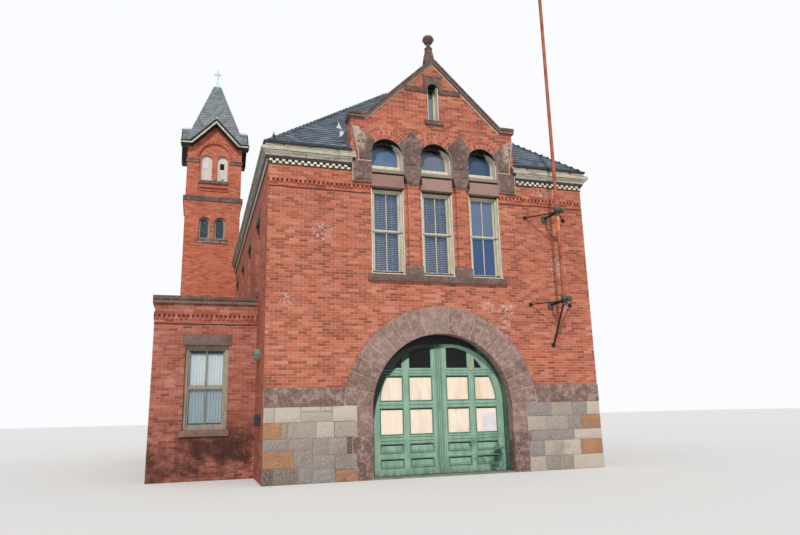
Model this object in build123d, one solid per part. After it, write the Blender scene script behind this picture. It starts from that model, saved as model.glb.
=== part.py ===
from build123d import *
from math import cos, radians, sin
import os

# Fire station with one arched vehicle doorway, a one-storey wing and a hose tower.
# Millimetres. +X is the viewer's right of the front, +Y goes into the building, +Z is up.
# The origin is on the ground, in the middle of the doorway, on the front wall's outer face.

# Main block
main_half_width = 4160
main_depth = 16000
wall_thickness = 400
floor_top = 25
upper_floor_thickness = 250
upper_floor_bottom = 4050

# Stone arch round the doorway
arch_radius = 1740
arch_ring = 650
arch_spring = 1510
arch_projection = 30
arch_depth = 240
jamb_width = 440
arch_crown = arch_spring + arch_radius

# Door frame behind the arch
frame_lap = 60
frame_thickness = 120
frame_half_width = arch_radius + frame_lap
frame_top = arch_crown + frame_lap
frame_back = arch_depth + frame_thickness

# Two door leaves; the head has a flat crown between two quarter rounds
leaf_thickness = 55
leaf_gap = 8
leaf_play = 6
leaf_clearance = 10
stop_overlap = 12
frame_show_side = 80
frame_show_top = 205
head_centre = 280
leaf_edge = arch_radius - frame_show_side
leaf_top = arch_crown - frame_show_top
leaf_bottom = floor_top + leaf_clearance
head_radius = leaf_edge - head_centre
head_spring = leaf_top - head_radius

# Rails, panels, boards and top lights of a leaf, each row as (rail below, height) from the foot up
stile_width = 200
mullion_width = 189
inner_column_width = 544
panel_rows = ((182, 170), (157, 172))
board_rows = ((232, 570), (193, 552))
light_rail = 197
top_rail = 96
light_radius = 892
light_centre_x = 325
panel_recess = 18
board_thickness = 15
board_set_back = 20
glass_thickness = 6

# Strap hinges
hinge_heights = (330, 930, 1440)
pin_radius = 8
pin_play = 0.3
knuckle_radius = 16
knuckle_height = 70
hinge_seat = 0.3
barrel_gap = 2
strap_length = 420
strap_height = 46
strap_thickness = 7

# Stone base and belt course on the front
belt_bottom = 1610
belt_height = 410
belt_top = belt_bottom + belt_height
base_projection = 20
belt_projection = 40
facing_depth = 150

# Three tall windows, with a round-headed light over each
window_spacing = 1285
window_centres = (-window_spacing, 0, window_spacing)
window_half_width = 415
window_height = 2190
sill_height = 160
sill_bearing = 100
sill_projection = 80
sill_bottom = 4480
sill_top = sill_bottom + sill_height
transom_height = 360
transom_projection = 20
transom_bottom = sill_top + window_height
transom_top = transom_bottom + transom_height
light_rise = 500
light_spring = transom_top + light_rise
sash_front = 100
round_light_front = 210
frame_width = 75
sash_width = 45
frame_depth = 110
muntin = 22
pane_thickness = 5

# Stones between and beside the windows
pier_centre = window_spacing / 2
pilaster_half_width = 137
pilaster_projection = 60
impost_height = 210
impost_top = transom_top + impost_height
spandrel_rise = 640
spandrel_apex = light_spring + spandrel_rise
side_block_drop = 270
side_block_bottom = transom_top - side_block_drop
side_block_width = 480
side_block_outer = window_spacing + window_half_width + side_block_width
side_block_neck = 150
side_block_narrow = side_block_outer - side_block_neck
side_block_waist = 60
stone_projection = 90

# Gable on the front
gable_half_width = 2200
gable_base = transom_top + 30
kneeler_rise = 1380
kneeler_width = 365
kneeler_overhang = 50
kneeler_under = gable_base + kneeler_rise
kneeler_inner = gable_half_width - kneeler_width
gable_rise = 1770
gable_apex_under = kneeler_under + gable_rise
coping_rise = 150
coping_overhang = 60
coping_back = 20
slates_below_coping = 40

# Narrow light in the gable, with its string course, head block and sill
slit_half_width = 150
slit_height = 890
slit_bottom = kneeler_under + 135
slit_spring = slit_bottom + slit_height
string_drop = 110
string_lap = 15
string_projection = 30
string_bottom = slit_spring - string_drop
string_top = slit_spring + string_lap
head_block_rise = 365
head_block_bearing = 100
head_block_projection = 45
slit_sill_height = 110
slit_sill_projection = 60

# Finial on the gable: (radius, height over the coping)
finial_profile = (
    (0, -60), (170, -60), (150, 90), (95, 350), (105, 375), (105, 410), (60, 425), (58, 520),
    (110, 580), (155, 660), (130, 740), (70, 785), (0, 795),
)

# Cornice and roof of the main block; the profile is (out from the wall, below the wall's top)
attic_height = 430
wall_top = gable_base + attic_height
cornice_projection = 195
cornice_profile = (
    (0, 470), (25, 470), (25, 352), (60, 352), (70, 316), (95, 262), (150, 215), (175, 180),
    (cornice_projection, 115), (120, 60), (100, 35), (100, 0), (0, 0),
)
cornice_end = side_block_narrow + 80
roof_pitch = 0.93
roof_overhang = 125
roof_thickness = 220

# Windows in the side and rear walls
side_window_first = 2300
side_window_step = 2750
side_window_count = 5
side_window_half_width = 450
side_window_height = 1900
side_window_top = sill_bottom + side_window_height
rear_window_centres = (-2400, 0, 2400)
wall_sill_height = 150
wall_lintel_height = 255
wall_stone_bearing = 60
wall_sill_projection = 50
wall_lintel_projection = 25

# One-storey wing on the left
annex_front = 1920
annex_left = -6560
annex_wall = 300
annex_wall_top = 4130
annex_coping_height = 190
annex_coping_top = annex_wall_top + annex_coping_height
annex_coping_overhang = 60
annex_parapet = 180
annex_roof_thickness = 150
annex_roof_top = annex_wall_top - annex_parapet
annex_roof_bottom = annex_roof_top - annex_roof_thickness
annex_window_centre = -5325
annex_window_half_width = 505
annex_window_height = 1987
annex_window_bottom = 1145
annex_window_top = annex_window_bottom + annex_window_height
annex_side_windows = (4300, 7000, 9700)

# Hose tower
tower_front = 12000
tower_size = 2170
tower_lap = 60
tower_right = tower_lap - main_half_width
tower_wall = 330
tower_shaft_top = 10090
tower_ceiling = 150
tower_flare_height = 620
tower_flare_bottom = tower_shaft_top - tower_flare_height
tower_flare = 60
tower_band_height = 190
tower_band_top = tower_shaft_top + tower_band_height
tower_band_projection = 35
tower_light_half_width = 220
tower_light_centre = 305
tower_light_height = 730
tower_light_bottom = tower_flare_bottom - 980
tower_light_spring = tower_light_bottom + tower_light_height

# Belfry stage
belfry_sill = tower_band_top + 730
belfry_sill_height = 125
belfry_opening_half_width = 220
belfry_opening_centre = 320
belfry_opening_height = 920
belfry_spring = belfry_sill + belfry_opening_height
belfry_panel_half_width = 615
belfry_panel_spring = belfry_spring + 100
belfry_panel_recess = 60
belfry_band_height = 170
belfry_band_bottom = belfry_spring - belfry_band_height
belfry_band_projection = 35
belfry_board_depth = 90
belfry_board_thickness = 20

# Tower roof: four gables round a square spire
tower_eave = belfry_spring + 535
tower_gable_rise = 955
tower_gable_apex = tower_eave + tower_gable_rise
tower_gable_pitch = 1.056
tower_roof_overhang = 260
tower_roof_rise = 260
tower_eave_edge = 105
tower_eave_kick = 40
spire_seat = 35
spire_height = 3290
spire_base = tower_eave + spire_seat
spire_top = spire_base + spire_height
spire_half_width = tower_size / 2 + 140
spire_tip_half_width = 120
spire_thickness = 200

# Copper finial
skirt_lap = 40
skirt_height = 150
skirt_neck = 250
skirt_bottom = spire_top - skirt_lap
skirt_middle = skirt_bottom + skirt_height
skirt_top = skirt_middle + skirt_neck
skirt_half_width = 165
skirt_waist = 80
finial_stem_radius = 38
finial_stem_height = 500
tower_top = skirt_top + finial_stem_height
cross_drop = 190
cross_height = tower_top - cross_drop
cross_half_span = 135
cross_thickness = 80

# Signal mast on the front wall, held by two iron brackets
mast_x = 2995
mast_stand_off = 665
mast_radius = 44
mast_ball_radius = 80
mast_length = 9250
bracket_bottom = 4020
bracket_step = 2280
bracket_spread = 565
bracket_bar = 50
stay_radius = 16
strut_radius = 24
strut_drop = 1025
clamp_wall = 28
clamp_height = 120
clamp_ball_radius = 58
clamp_ball_reach = 150
foot_radius = 52
foot_thickness = 24
mast_foot = bracket_bottom - clamp_height / 2
mast_top = mast_foot + mast_length


def block(x0, x1, y0, y1, z0, z1):
    size = Box(x1 - x0, y1 - y0, z1 - z0)
    return Pos((x0 + x1) / 2, (y0 + y1) / 2, (z0 + z1) / 2) * size


def round_bar(x, z, radius, y0, y1):
    return Pos(x, (y0 + y1) / 2, z) * Rot(90, 0, 0) * Cylinder(radius, y1 - y0)


def post(x, y, radius, z0, z1):
    return Pos(x, y, (z0 + z1) / 2) * Cylinder(radius, z1 - z0)


def front_plate(points, y0, y1):
    outline = make_face(Polyline(*[(x, y0, z) for x, z in points], close=True))
    return extrude(outline, amount=y1 - y0, dir=(0, 1, 0))


def side_plate(points, x0, x1):
    outline = make_face(Polyline(*[(x0, y, z) for y, z in points], close=True))
    return extrude(outline, amount=x1 - x0, dir=(1, 0, 0))


def arched_void(centre, half_width, bottom, spring, y0, y1):
    lower = block(centre - half_width, centre + half_width, y0, y1, bottom, spring)
    return lower + round_bar(centre, spring, half_width, y0, y1)


def mirrored(shape):
    return mirror(shape, about=Plane.YZ)


def together(shapes):
    flat = []
    for shape in shapes:
        flat.extend(shape.solids())
    return Compound(children=flat) if len(flat) > 1 else flat[0]


def save(name, *shapes):
    export_step(together(shapes), f"parts/{name}.step")


# Floors
def ground_floors():
    slab = inside_slab(0, floor_top)
    slab += block(-arch_radius, arch_radius, -arch_projection, wall_thickness, 0, floor_top)
    wing = block(annex_left + annex_wall, -main_half_width, annex_front + annex_wall, tower_front,
                 0, floor_top)
    return slab, wing


def inside_slab(z0, z1):
    inner = main_half_width - wall_thickness
    return block(-inner, inner, wall_thickness, main_depth - wall_thickness, z0, z1)


def upper_floor():
    return inside_slab(upper_floor_bottom, upper_floor_bottom + upper_floor_thickness)


# Doorway
def arch_void(radius, y0, y1):
    return arched_void(0, radius, 0, arch_spring, y0, y1)


def door_arch():
    outer = arch_radius + arch_ring
    ring = round_bar(0, arch_spring, outer, -arch_projection, arch_depth)
    ring &= block(-outer, outer, -arch_projection, arch_depth, arch_spring, arch_spring + outer)
    jamb_edge = arch_radius + jamb_width
    jambs = block(-jamb_edge, jamb_edge, -arch_projection, arch_depth, 0, arch_spring)
    return ring + jambs - arch_void(arch_radius, -arch_projection, arch_depth)


def arch_stones_cut():
    outer = arch_radius + arch_ring
    jamb_edge = arch_radius + jamb_width
    ring = round_bar(0, arch_spring, outer, -wall_thickness, arch_depth)
    ring &= block(-outer, outer, -wall_thickness, arch_depth, arch_spring, arch_spring + outer)
    return ring + block(-jamb_edge, jamb_edge, -wall_thickness, arch_depth, 0, arch_spring)


def door_shape(offset, bottom, y0, y1):
    # flat crown between two quarter rounds, straight sides below
    radius = head_radius + offset
    edge = head_centre + radius
    shape = block(-edge, edge, y0, y1, bottom, head_spring)
    shape += block(-head_centre, head_centre, y0, y1, head_spring, head_spring + radius)
    for side in (-1, 1):
        corner = round_bar(side * head_centre, head_spring, radius, y0, y1)
        near, far = sorted((side * head_centre, side * edge))
        shape += corner & block(near, far, y0, y1, head_spring, head_spring + radius)
    return shape


def leaf_back():
    return frame_back + leaf_play


def leaf_front():
    return leaf_back() - leaf_thickness


def door_frame():
    body = block(-frame_half_width, frame_half_width, arch_depth, frame_back, 0, frame_top)
    stop_back = leaf_front() - leaf_play
    body -= door_shape(-stop_overlap, -1, arch_depth, stop_back)
    body -= door_shape(leaf_play, -1, stop_back, frame_back)
    return body - block(-arch_radius, arch_radius, arch_depth, frame_back, -1, floor_top)


def pane_columns():
    inner = stile_width
    middle = inner + inner_column_width
    return ((inner, middle), (middle + mullion_width, leaf_edge - stile_width))


def stacked(rows, bottom):
    # rows of (rail below, height) as (bottom, top) of each opening
    places = []
    for rail, height in rows:
        places.append((bottom + rail, bottom + rail + height))
        bottom += rail + height
    return places


def panel_places():
    return stacked(panel_rows, leaf_bottom)


def board_places():
    return stacked(board_rows, panel_places()[-1][1])


def light_voids(y0, y1):
    limit = round_bar(light_centre_x, leaf_top - top_rail - light_radius, light_radius, y0, y1)
    bottom = board_places()[-1][1] + light_rail
    return [block(a, b, y0, y1, bottom, leaf_top) & limit for a, b in pane_columns()]


def board_voids(y0, y1):
    limit = door_shape(-stile_width, 0, y0, y1)
    return [block(a, b, y0, y1, z0, z1) & limit for z0, z1 in board_places() for a, b in pane_columns()]


def right_leaf():
    y0 = leaf_front()
    leaf = door_shape(0, leaf_bottom, y0, leaf_back())
    leaf &= block(leaf_gap / 2, frame_half_width, y0, leaf_back(), 0, frame_top)
    for void in light_voids(y0, leaf_back()) + board_voids(y0, leaf_back()):
        leaf -= void
    for z0, z1 in panel_places():
        for a, b in pane_columns():
            leaf -= block(a, b, y0, y0 + panel_recess, z0, z1)
    return leaf


def right_leaf_boards():
    front = leaf_front() + board_set_back
    return board_voids(front, front + board_thickness)


def right_leaf_glass():
    front = leaf_front() + board_set_back
    return light_voids(front, front + glass_thickness)


def pin_place():
    return leaf_edge + 2 * leaf_play, leaf_back() + knuckle_radius + barrel_gap


def right_leaf_hinges():
    pin_x, pin_y = pin_place()
    hinges = []
    for z in hinge_heights:
        low, high = z - strap_height / 2, z + strap_height / 2
        hinge = post(pin_x, pin_y, knuckle_radius, z - knuckle_height / 2, z + knuckle_height / 2)
        hinge += block(pin_x - strap_length, pin_x, leaf_back(), leaf_back() + strap_thickness, low, high)
        hinge += block(pin_x - knuckle_radius, pin_x, leaf_back(), pin_y, low, high)
        bore = post(pin_x, pin_y, pin_radius + pin_play, z - knuckle_height, z + knuckle_height)
        hinges.append(hinge - bore)
    return hinges


def right_frame_hinges():
    pin_x, pin_y = pin_place()
    brackets = []
    for z in hinge_heights:
        low = z - knuckle_height / 2 - hinge_seat
        high = z + knuckle_height / 2 + barrel_gap
        pin = post(pin_x, pin_y, pin_radius, low - knuckle_height / 2, high)
        foot = post(pin_x, pin_y, knuckle_radius, low - knuckle_height / 2, low)
        arm = block(pin_x, frame_half_width - barrel_gap, frame_back, pin_y, low - knuckle_height / 2, low)
        brackets.append(pin + foot + arm)
    return brackets


# Front wall
def front_wall_side():
    # the right-hand part, from the arch to the corner, up to the door frame's top
    wall = block(0, main_half_width, 0, wall_thickness, 0, frame_top)
    wall -= block(0, frame_half_width, arch_depth, wall_thickness, -1, frame_top)
    wall -= block(0, arch_radius, -1, wall_thickness, -1, arch_spring)
    wall -= arch_stones_cut()
    return wall - block(0, main_half_width + 1, -1, facing_depth, -1, belt_top)


def base_stones_right():
    stone = block(arch_radius, main_half_width, -base_projection, facing_depth, 0, belt_bottom)
    return stone - arch_stones_cut()


def belt_course_right():
    stone = block(arch_radius, main_half_width, -belt_projection, facing_depth, belt_bottom, belt_top)
    return stone - arch_stones_cut()


def window_voids(y0, y1):
    voids = []
    for centre in window_centres:
        half = window_half_width
        voids.append(block(centre - half, centre + half, y0, y1, sill_bottom, gable_base))
    return voids


def round_voids(y0, y1):
    return [arched_void(x, window_half_width, transom_top, light_spring, y0, y1) for x in window_centres]


def sill_stone_cut():
    edge = window_spacing + window_half_width + sill_bearing
    return block(-edge, edge, -wall_thickness, wall_thickness / 2, sill_bottom, sill_top)


def front_wall_upper():
    wall = block(-main_half_width, main_half_width, 0, wall_thickness, frame_top, gable_base)
    wall -= arch_stones_cut()
    for side in (-1, 1):
        x = side * pier_centre
        wall += block(x - pilaster_half_width, x + pilaster_half_width, -pilaster_projection, 0,
                      sill_top, side_block_bottom)
    for void in window_voids(-1, wall_thickness + 1):
        wall -= void
    wall -= sill_stone_cut()
    return wall - stones_cut()


def gable_outline(rise):
    return (
        (-gable_half_width, gable_base),
        (gable_half_width, gable_base),
        (gable_half_width, kneeler_under + rise),
        (kneeler_inner, kneeler_under + rise),
        (0, gable_apex_under + rise),
        (-kneeler_inner, kneeler_under + rise),
        (-gable_half_width, kneeler_under + rise),
    )


def gable_wall():
    wall = front_plate(gable_outline(0), 0, wall_thickness)
    wall += block(-main_half_width, main_half_width, 0, wall_thickness, gable_base, wall_top)
    for void in round_voids(-1, wall_thickness + 1):
        wall -= void
    wall -= arched_void(0, slit_half_width, slit_bottom, slit_spring, -1, wall_thickness + 1)
    wall -= stones_cut()
    return wall - gable_trim_cut()


# Stones of the window group
def spandrel_stone(side):
    # capital, impost block and pointed stone over one pier
    x = side * pier_centre
    half = pier_centre - window_half_width
    reach = window_half_width * (1 - cos(radians(45)))
    shoulder = light_spring + window_half_width * sin(radians(45))
    outline = (
        (x - half, side_block_bottom),
        (x + half, side_block_bottom),
        (x + half, light_spring),
        (x + half + reach, shoulder),
        (x, spandrel_apex),
        (x - half - reach, shoulder),
        (x - half, light_spring),
    )
    stone = front_plate(outline, -stone_projection, facing_depth)
    for void in round_voids(-wall_thickness, wall_thickness):
        stone -= void
    return stone


def side_block(side):
    # rough stones at the ends of the window group
    outer = window_spacing + window_half_width
    reach = window_half_width * cos(radians(45))
    shoulder_x = window_spacing + reach
    shoulder_z = light_spring + reach
    outline = (
        (outer, side_block_bottom),
        (side_block_outer, side_block_bottom),
        (side_block_outer, impost_top),
        (side_block_narrow, impost_top + side_block_waist),
        (side_block_narrow + 20, light_spring),
        (side_block_outer, spandrel_apex),
        (side_block_narrow, spandrel_apex),
        (shoulder_x, shoulder_z),
        (window_spacing + window_half_width, light_spring),
    )
    stone = front_plate([(side * x, z) for x, z in outline], -stone_projection, facing_depth)
    for void in round_voids(-wall_thickness, wall_thickness):
        stone -= void
    return stone


def stones_cut():
    cut = None
    for side in (-1, 1):
        for stone in (spandrel_stone(side), side_block(side)):
            cut = stone if cut is None else cut + stone
    return cut


def gable_trim():
    # string course, head block and sill round the narrow light
    run = (gable_apex_under - string_top) / (gable_apex_under - kneeler_under) * kneeler_inner
    half = slit_half_width + head_block_bearing
    string = block(-run, run, -string_projection, facing_depth, string_bottom, string_top)
    head = block(-half, half, -head_block_projection, facing_depth, string_bottom,
                 slit_spring + head_block_rise)
    void = arched_void(0, slit_half_width, slit_bottom, slit_spring, -wall_thickness, wall_thickness)
    trim = string + head - void
    sill = block(-half, half, -slit_sill_projection, facing_depth,
                 slit_bottom - slit_sill_height, slit_bottom)
    return trim, sill


def gable_trim_cut():
    trim, sill = gable_trim()
    return trim + sill


def gable_coping():
    back = wall_thickness + coping_back
    edge = gable_half_width + kneeler_overhang
    outer = front_plate(gable_outline(coping_rise), -coping_overhang, back)
    kneeler = block(-edge, edge, -coping_overhang, back, kneeler_under, kneeler_under + coping_rise)
    under = front_plate(gable_outline(0), -wall_thickness, 2 * wall_thickness)
    return outer + kneeler - under


def gable_finial():
    top = gable_apex_under + coping_rise
    line = Polyline(*[(r, 0, top + z) for r, z in finial_profile], close=True)
    finial = Pos(0, wall_thickness / 2, 0) * revolve(make_face(line), Axis.Z)
    return finial - front_plate(gable_outline(coping_rise), -wall_thickness, 2 * wall_thickness)


# Window joinery
def window_frame(centre, half, z0, z1, y0):
    # outer frame, two sashes with a meeting rail and one upright bar, facing -Y
    y1 = y0 + frame_depth
    frame = block(centre - half, centre + half, y0, y1, z0, z1)
    inner = half - frame_width
    frame -= block(centre - inner, centre + inner, y0, y1, z0 + frame_width, z1 - frame_width)
    middle = (z0 + z1) / 2
    sash_y0 = y0 + frame_depth / 2
    sash = block(centre - inner, centre + inner, sash_y0, y1, z0 + frame_width, z1 - frame_width)
    pane = inner - sash_width
    for low, high in ((z0 + frame_width, middle), (middle, z1 - frame_width)):
        for a, b in ((-pane, -muntin / 2), (muntin / 2, pane)):
            sash -= block(centre + a, centre + b, sash_y0, y1, low + sash_width, high - sash_width)
    return [frame + sash]


def window_glass(centre, half, z0, z1, y0):
    inner = half - frame_width - sash_width
    middle = (z0 + z1) / 2
    y = y0 + frame_depth * 3 / 4
    panes = []
    for low, high in ((z0 + frame_width, middle), (middle, z1 - frame_width)):
        for a, b in ((-inner, -muntin / 2), (muntin / 2, inner)):
            panes.append(block(centre + a, centre + b, y, y + pane_thickness,
                               low + sash_width, high - sash_width))
    return panes


def round_frame(centre, half, z0, spring, y0):
    y1 = y0 + frame_depth
    frame = arched_void(centre, half, z0, spring, y0, y1)
    return frame - arched_void(centre, half - frame_width, z0 + frame_width, spring, y0, y1)


def round_glass(centre, half, z0, spring, y0):
    y = y0 + frame_depth / 2
    return arched_void(centre, half - frame_width, z0 + frame_width, spring, y, y + pane_thickness)


def slit_frame():
    return round_frame(0, slit_half_width, slit_bottom, slit_spring, round_light_front)


def front_frames():
    frames = [slit_frame()]
    for x in window_centres:
        frames += window_frame(x, window_half_width, sill_top, transom_bottom, sash_front)
        frames.append(round_frame(x, window_half_width, transom_top, light_spring, round_light_front))
    return frames


def front_glass():
    panes = []
    for x in window_centres:
        panes += window_glass(x, window_half_width, sill_top, transom_bottom, sash_front)
        panes.append(round_glass(x, window_half_width, transom_top, light_spring, round_light_front))
    panes.append(round_glass(0, slit_half_width, slit_bottom, slit_spring, round_light_front))
    return panes


def front_window_stones():
    edge = window_spacing + window_half_width + sill_bearing
    sill = block(-edge, edge, -sill_projection, wall_thickness / 2, sill_bottom, sill_top)
    stones = [sill]
    for x in window_centres:
        half = window_half_width
        stones.append(block(x - half, x + half, -transom_projection, wall_thickness,
                            transom_bottom, transom_top))
    return stones


# Side and rear walls
def side_window_places():
    return [side_window_first + n * side_window_step for n in range(side_window_count)]


def left_window_places():
    return [y for y in side_window_places() if y + side_window_half_width < tower_front]


def side_wall(x0, x1, places):
    wall = block(x0, x1, wall_thickness, main_depth - wall_thickness, 0, wall_top)
    half = side_window_half_width
    for y in places:
        wall -= block(x0 - 1, x1 + 1, y - half, y + half, sill_bottom, side_window_top)
    return wall


def left_wall():
    wall = side_wall(-main_half_width, wall_thickness - main_half_width, left_window_places())
    return wall - turned_stones(-1, left_window_places())


def right_wall():
    wall = side_wall(main_half_width - wall_thickness, main_half_width, side_window_places())
    return wall - turned_stones(1, side_window_places())


def rear_wall():
    wall = block(-main_half_width, main_half_width, main_depth - wall_thickness, main_depth, 0, wall_top)
    half = side_window_half_width
    for x in rear_window_centres:
        wall -= block(x - half, x + half, main_depth - wall_thickness - 1, main_depth + 1,
                      sill_bottom, side_window_top)
    for stone in rear_stones():
        wall -= stone
    return wall


def opening_stones(centre, half, z0, z1, y0):
    # sill below and lintel above one opening in a wall facing -Y
    reach = half + wall_stone_bearing
    back = y0 + facing_depth
    sill = block(centre - reach, centre + reach, y0 - wall_sill_projection, back, z0 - wall_sill_height, z0)
    lintel = block(centre - reach, centre + reach, y0 - wall_lintel_projection, back,
                   z1, z1 + wall_lintel_height)
    return [sill, lintel]


def turn_to_side(shapes, side):
    # from a wall facing -Y at y = 0 to the outer face of a side wall
    if side < 0:
        return [Pos(-main_half_width, 0, 0) * Rot(0, 0, -90) * shape for shape in shapes]
    return [Pos(main_half_width, 0, 0) * Rot(0, 0, 90) * shape for shape in shapes]


def turn_to_wing(shapes):
    return [Pos(annex_left, 0, 0) * Rot(0, 0, -90) * shape for shape in shapes]


def side_centre(side, y):
    # x before the turn that lands at y after it
    return -y if side < 0 else y


def side_stones(side, places):
    stones = []
    for y in places:
        stones += opening_stones(side_centre(side, y), side_window_half_width,
                                 sill_bottom, side_window_top, 0)
    return turn_to_side(stones, side)


def turned_stones(side, places):
    stones = side_stones(side, places)
    cut = stones[0]
    for stone in stones[1:]:
        cut += stone
    return cut


def turn_to_rear(shapes):
    return [Pos(0, main_depth, 0) * Rot(0, 0, 180) * shape for shape in shapes]


def rear_stones():
    stones = []
    for x in rear_window_centres:
        stones += opening_stones(-x, side_window_half_width, sill_bottom, side_window_top, 0)
    return turn_to_rear(stones)


def wall_joinery(maker):
    # frames or panes for every opening outside the front group; maker returns a list
    pieces = []
    half = side_window_half_width
    for side, places in ((-1, left_window_places()), (1, side_window_places())):
        shapes = []
        for y in places:
            shapes += maker(side_centre(side, y), half, sill_bottom, side_window_top, sash_front)
        pieces += turn_to_side(shapes, side)
    shapes = []
    for x in rear_window_centres:
        shapes += maker(-x, half, sill_bottom, side_window_top, sash_front)
    pieces += turn_to_rear(shapes)
    half = annex_window_half_width
    low, high = annex_window_bottom, annex_window_top
    pieces += maker(annex_window_centre, half, low, high, annex_front + sash_front)
    shapes = []
    for y in annex_side_windows:
        shapes += maker(-y, half, low, high, sash_front)
    return pieces + turn_to_wing(shapes)


# Cornice and roof
def cornice_run(half):
    # a run along X in front of a wall facing -Y at y = 0, mitred at both ends
    reach = half + cornice_projection
    run = side_plate([(-out, wall_top - drop) for out, drop in cornice_profile], -reach, reach)
    mitre = Polyline((-half, 0, 0), (half, 0, 0), (reach, -cornice_projection, 0),
                     (-reach, -cornice_projection, 0), close=True)
    return run & extrude(make_face(mitre), amount=wall_top, dir=(0, 0, 1))


def cornices():
    half = main_half_width
    long_half = main_depth / 2
    front = cornice_run(half)
    low_end = side_block_outer + 10
    waist_top = impost_top + side_block_waist
    front -= block(-low_end, low_end, -2 * cornice_projection, 0, 0, waist_top)
    front -= block(-cornice_end, cornice_end, -2 * cornice_projection, 0, waist_top, wall_top)
    rear = Pos(0, main_depth, 0) * Rot(0, 0, 180) * cornice_run(half)
    left = Pos(-half, long_half, 0) * Rot(0, 0, -90) * cornice_run(long_half)
    right = Pos(half, long_half, 0) * Rot(0, 0, 90) * cornice_run(long_half)
    return together([front + (left - tower_cut()) + rear + right])


def tower_cut():
    return block(tower_right - tower_size, tower_right, tower_front, tower_front + tower_size, 0, tower_top)


def hip_solid(inset):
    # a hip roof over the block, with its sloping faces moved in
    edge_x = main_half_width + roof_overhang - inset
    y0 = -roof_overhang + inset
    y1 = main_depth + roof_overhang - inset
    z0 = wall_top
    rise = edge_x * roof_pitch
    a, b, c, d = (-edge_x, y0, z0), (edge_x, y0, z0), (edge_x, y1, z0), (-edge_x, y1, z0)
    e = (0, y0 + edge_x, z0 + rise)
    f = (0, y1 - edge_x, z0 + rise)
    faces = [(a, b, c, d), (a, b, e), (b, c, f, e), (c, d, f), (d, a, e, f)]
    return Solid(Shell([Face(Wire.make_polygon(points, close=True)) for points in faces]))


def hip_slopes():
    # upright prisms over the four slopes, which meet under the hips and the ridge
    edge_x = main_half_width + roof_overhang
    y0 = -roof_overhang
    y1 = main_depth + roof_overhang
    a, b, c, d = (-edge_x, y0), (edge_x, y0), (edge_x, y1), (-edge_x, y1)
    e = (0, y0 + edge_x)
    f = (0, y1 - edge_x)
    slopes = ((a, b, e), (b, c, f, e), (c, d, f), (d, a, e, f))
    return [extrude(make_face(Polyline(*points, close=True)), amount=tower_top) for points in slopes]


def main_roof():
    # one solid for each slope, and two in front, left and right of the gable
    roof = hip_solid(0) - hip_solid(roof_thickness)
    roof -= block(-gable_half_width, gable_half_width, -2 * roof_overhang, wall_thickness, 0, tower_top)
    roof -= tower_cut()
    return [roof & slope for slope in hip_slopes()]


def gable_roof():
    # slopes that follow the gable and die into the hip roof behind it
    top = gable_apex_under + coping_rise - slates_below_coping
    pitch = (gable_apex_under - kneeler_under) / kneeler_inner
    half = (top - wall_top) / pitch
    reach = (top - wall_top) / roof_pitch
    roof = front_plate(((-half, wall_top), (half, wall_top), (0, top)), wall_thickness, reach)
    roof -= hip_solid(0)
    return roof - gable_coping()


# One-storey wing
def annex_walls():
    front = block(annex_left, -main_half_width, annex_front, annex_front + annex_wall, 0, annex_wall_top)
    side = block(annex_left, annex_left + annex_wall, annex_front, tower_front, 0, annex_wall_top)
    walls = front + side
    half = annex_window_half_width
    walls -= block(annex_window_centre - half, annex_window_centre + half, annex_front - 1,
                   annex_front + annex_wall + 1, annex_window_bottom, annex_window_top)
    for y in annex_side_windows:
        walls -= block(annex_left - 1, annex_left + annex_wall + 1, y - half, y + half,
                       annex_window_bottom, annex_window_top)
    for stone in annex_stones():
        walls -= stone
    return walls


def annex_stones():
    half = annex_window_half_width
    stones = opening_stones(annex_window_centre, half, annex_window_bottom, annex_window_top, annex_front)
    shapes = []
    for y in annex_side_windows:
        shapes += opening_stones(-y, half, annex_window_bottom, annex_window_top, 0)
    return stones + turn_to_wing(shapes)


def annex_roof():
    return block(annex_left + annex_wall, -main_half_width, annex_front + annex_wall, tower_front,
                 annex_roof_bottom, annex_roof_top)


def annex_coping():
    reach = annex_coping_overhang
    back = annex_wall + coping_back
    front = block(annex_left - reach, -main_half_width, annex_front - reach, annex_front + back,
                  annex_wall_top, annex_coping_top)
    side = block(annex_left - reach, annex_left + back, annex_front - reach, tower_front,
                 annex_wall_top, annex_coping_top)
    return front + side


# Hose tower
def tower_centre():
    return tower_right - tower_size / 2, tower_front + tower_size / 2


def square_block(half, z0, z1):
    x, y = tower_centre()
    return block(x - half, x + half, y - half, y + half, z0, z1)


def square_frustum(half_low, half_high, z0, z1):
    x, y = tower_centre()
    low = Pos(x, y, z0) * Rectangle(2 * half_low, 2 * half_low)
    high = Pos(x, y, z1) * Rectangle(2 * half_high, 2 * half_high)
    return loft([low, high])


def turned_tower(shape, turns):
    x, y = tower_centre()
    return Pos(x, y, 0) * Rot(0, 0, 90 * turns) * Pos(-x, -y, 0) * shape


def tower_light_places():
    x = tower_centre()[0]
    return (x - tower_light_centre, x + tower_light_centre)


def tower_shaft():
    half = tower_size / 2
    shaft = square_block(half, 0, tower_shaft_top)
    shaft += square_frustum(half, half + tower_flare, tower_flare_bottom, tower_shaft_top)
    shaft -= block(-main_half_width, 0, 0, main_depth, 0, wall_top)
    shaft -= square_block(half - tower_wall, floor_top, tower_shaft_top - tower_ceiling)
    for x in tower_light_places():
        shaft -= arched_void(x, tower_light_half_width, tower_light_bottom, tower_light_spring,
                             tower_front - 1, tower_front + tower_wall + 1)
    shaft -= tower_sill()
    return [shaft & part for part in tower_walls()]


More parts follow.
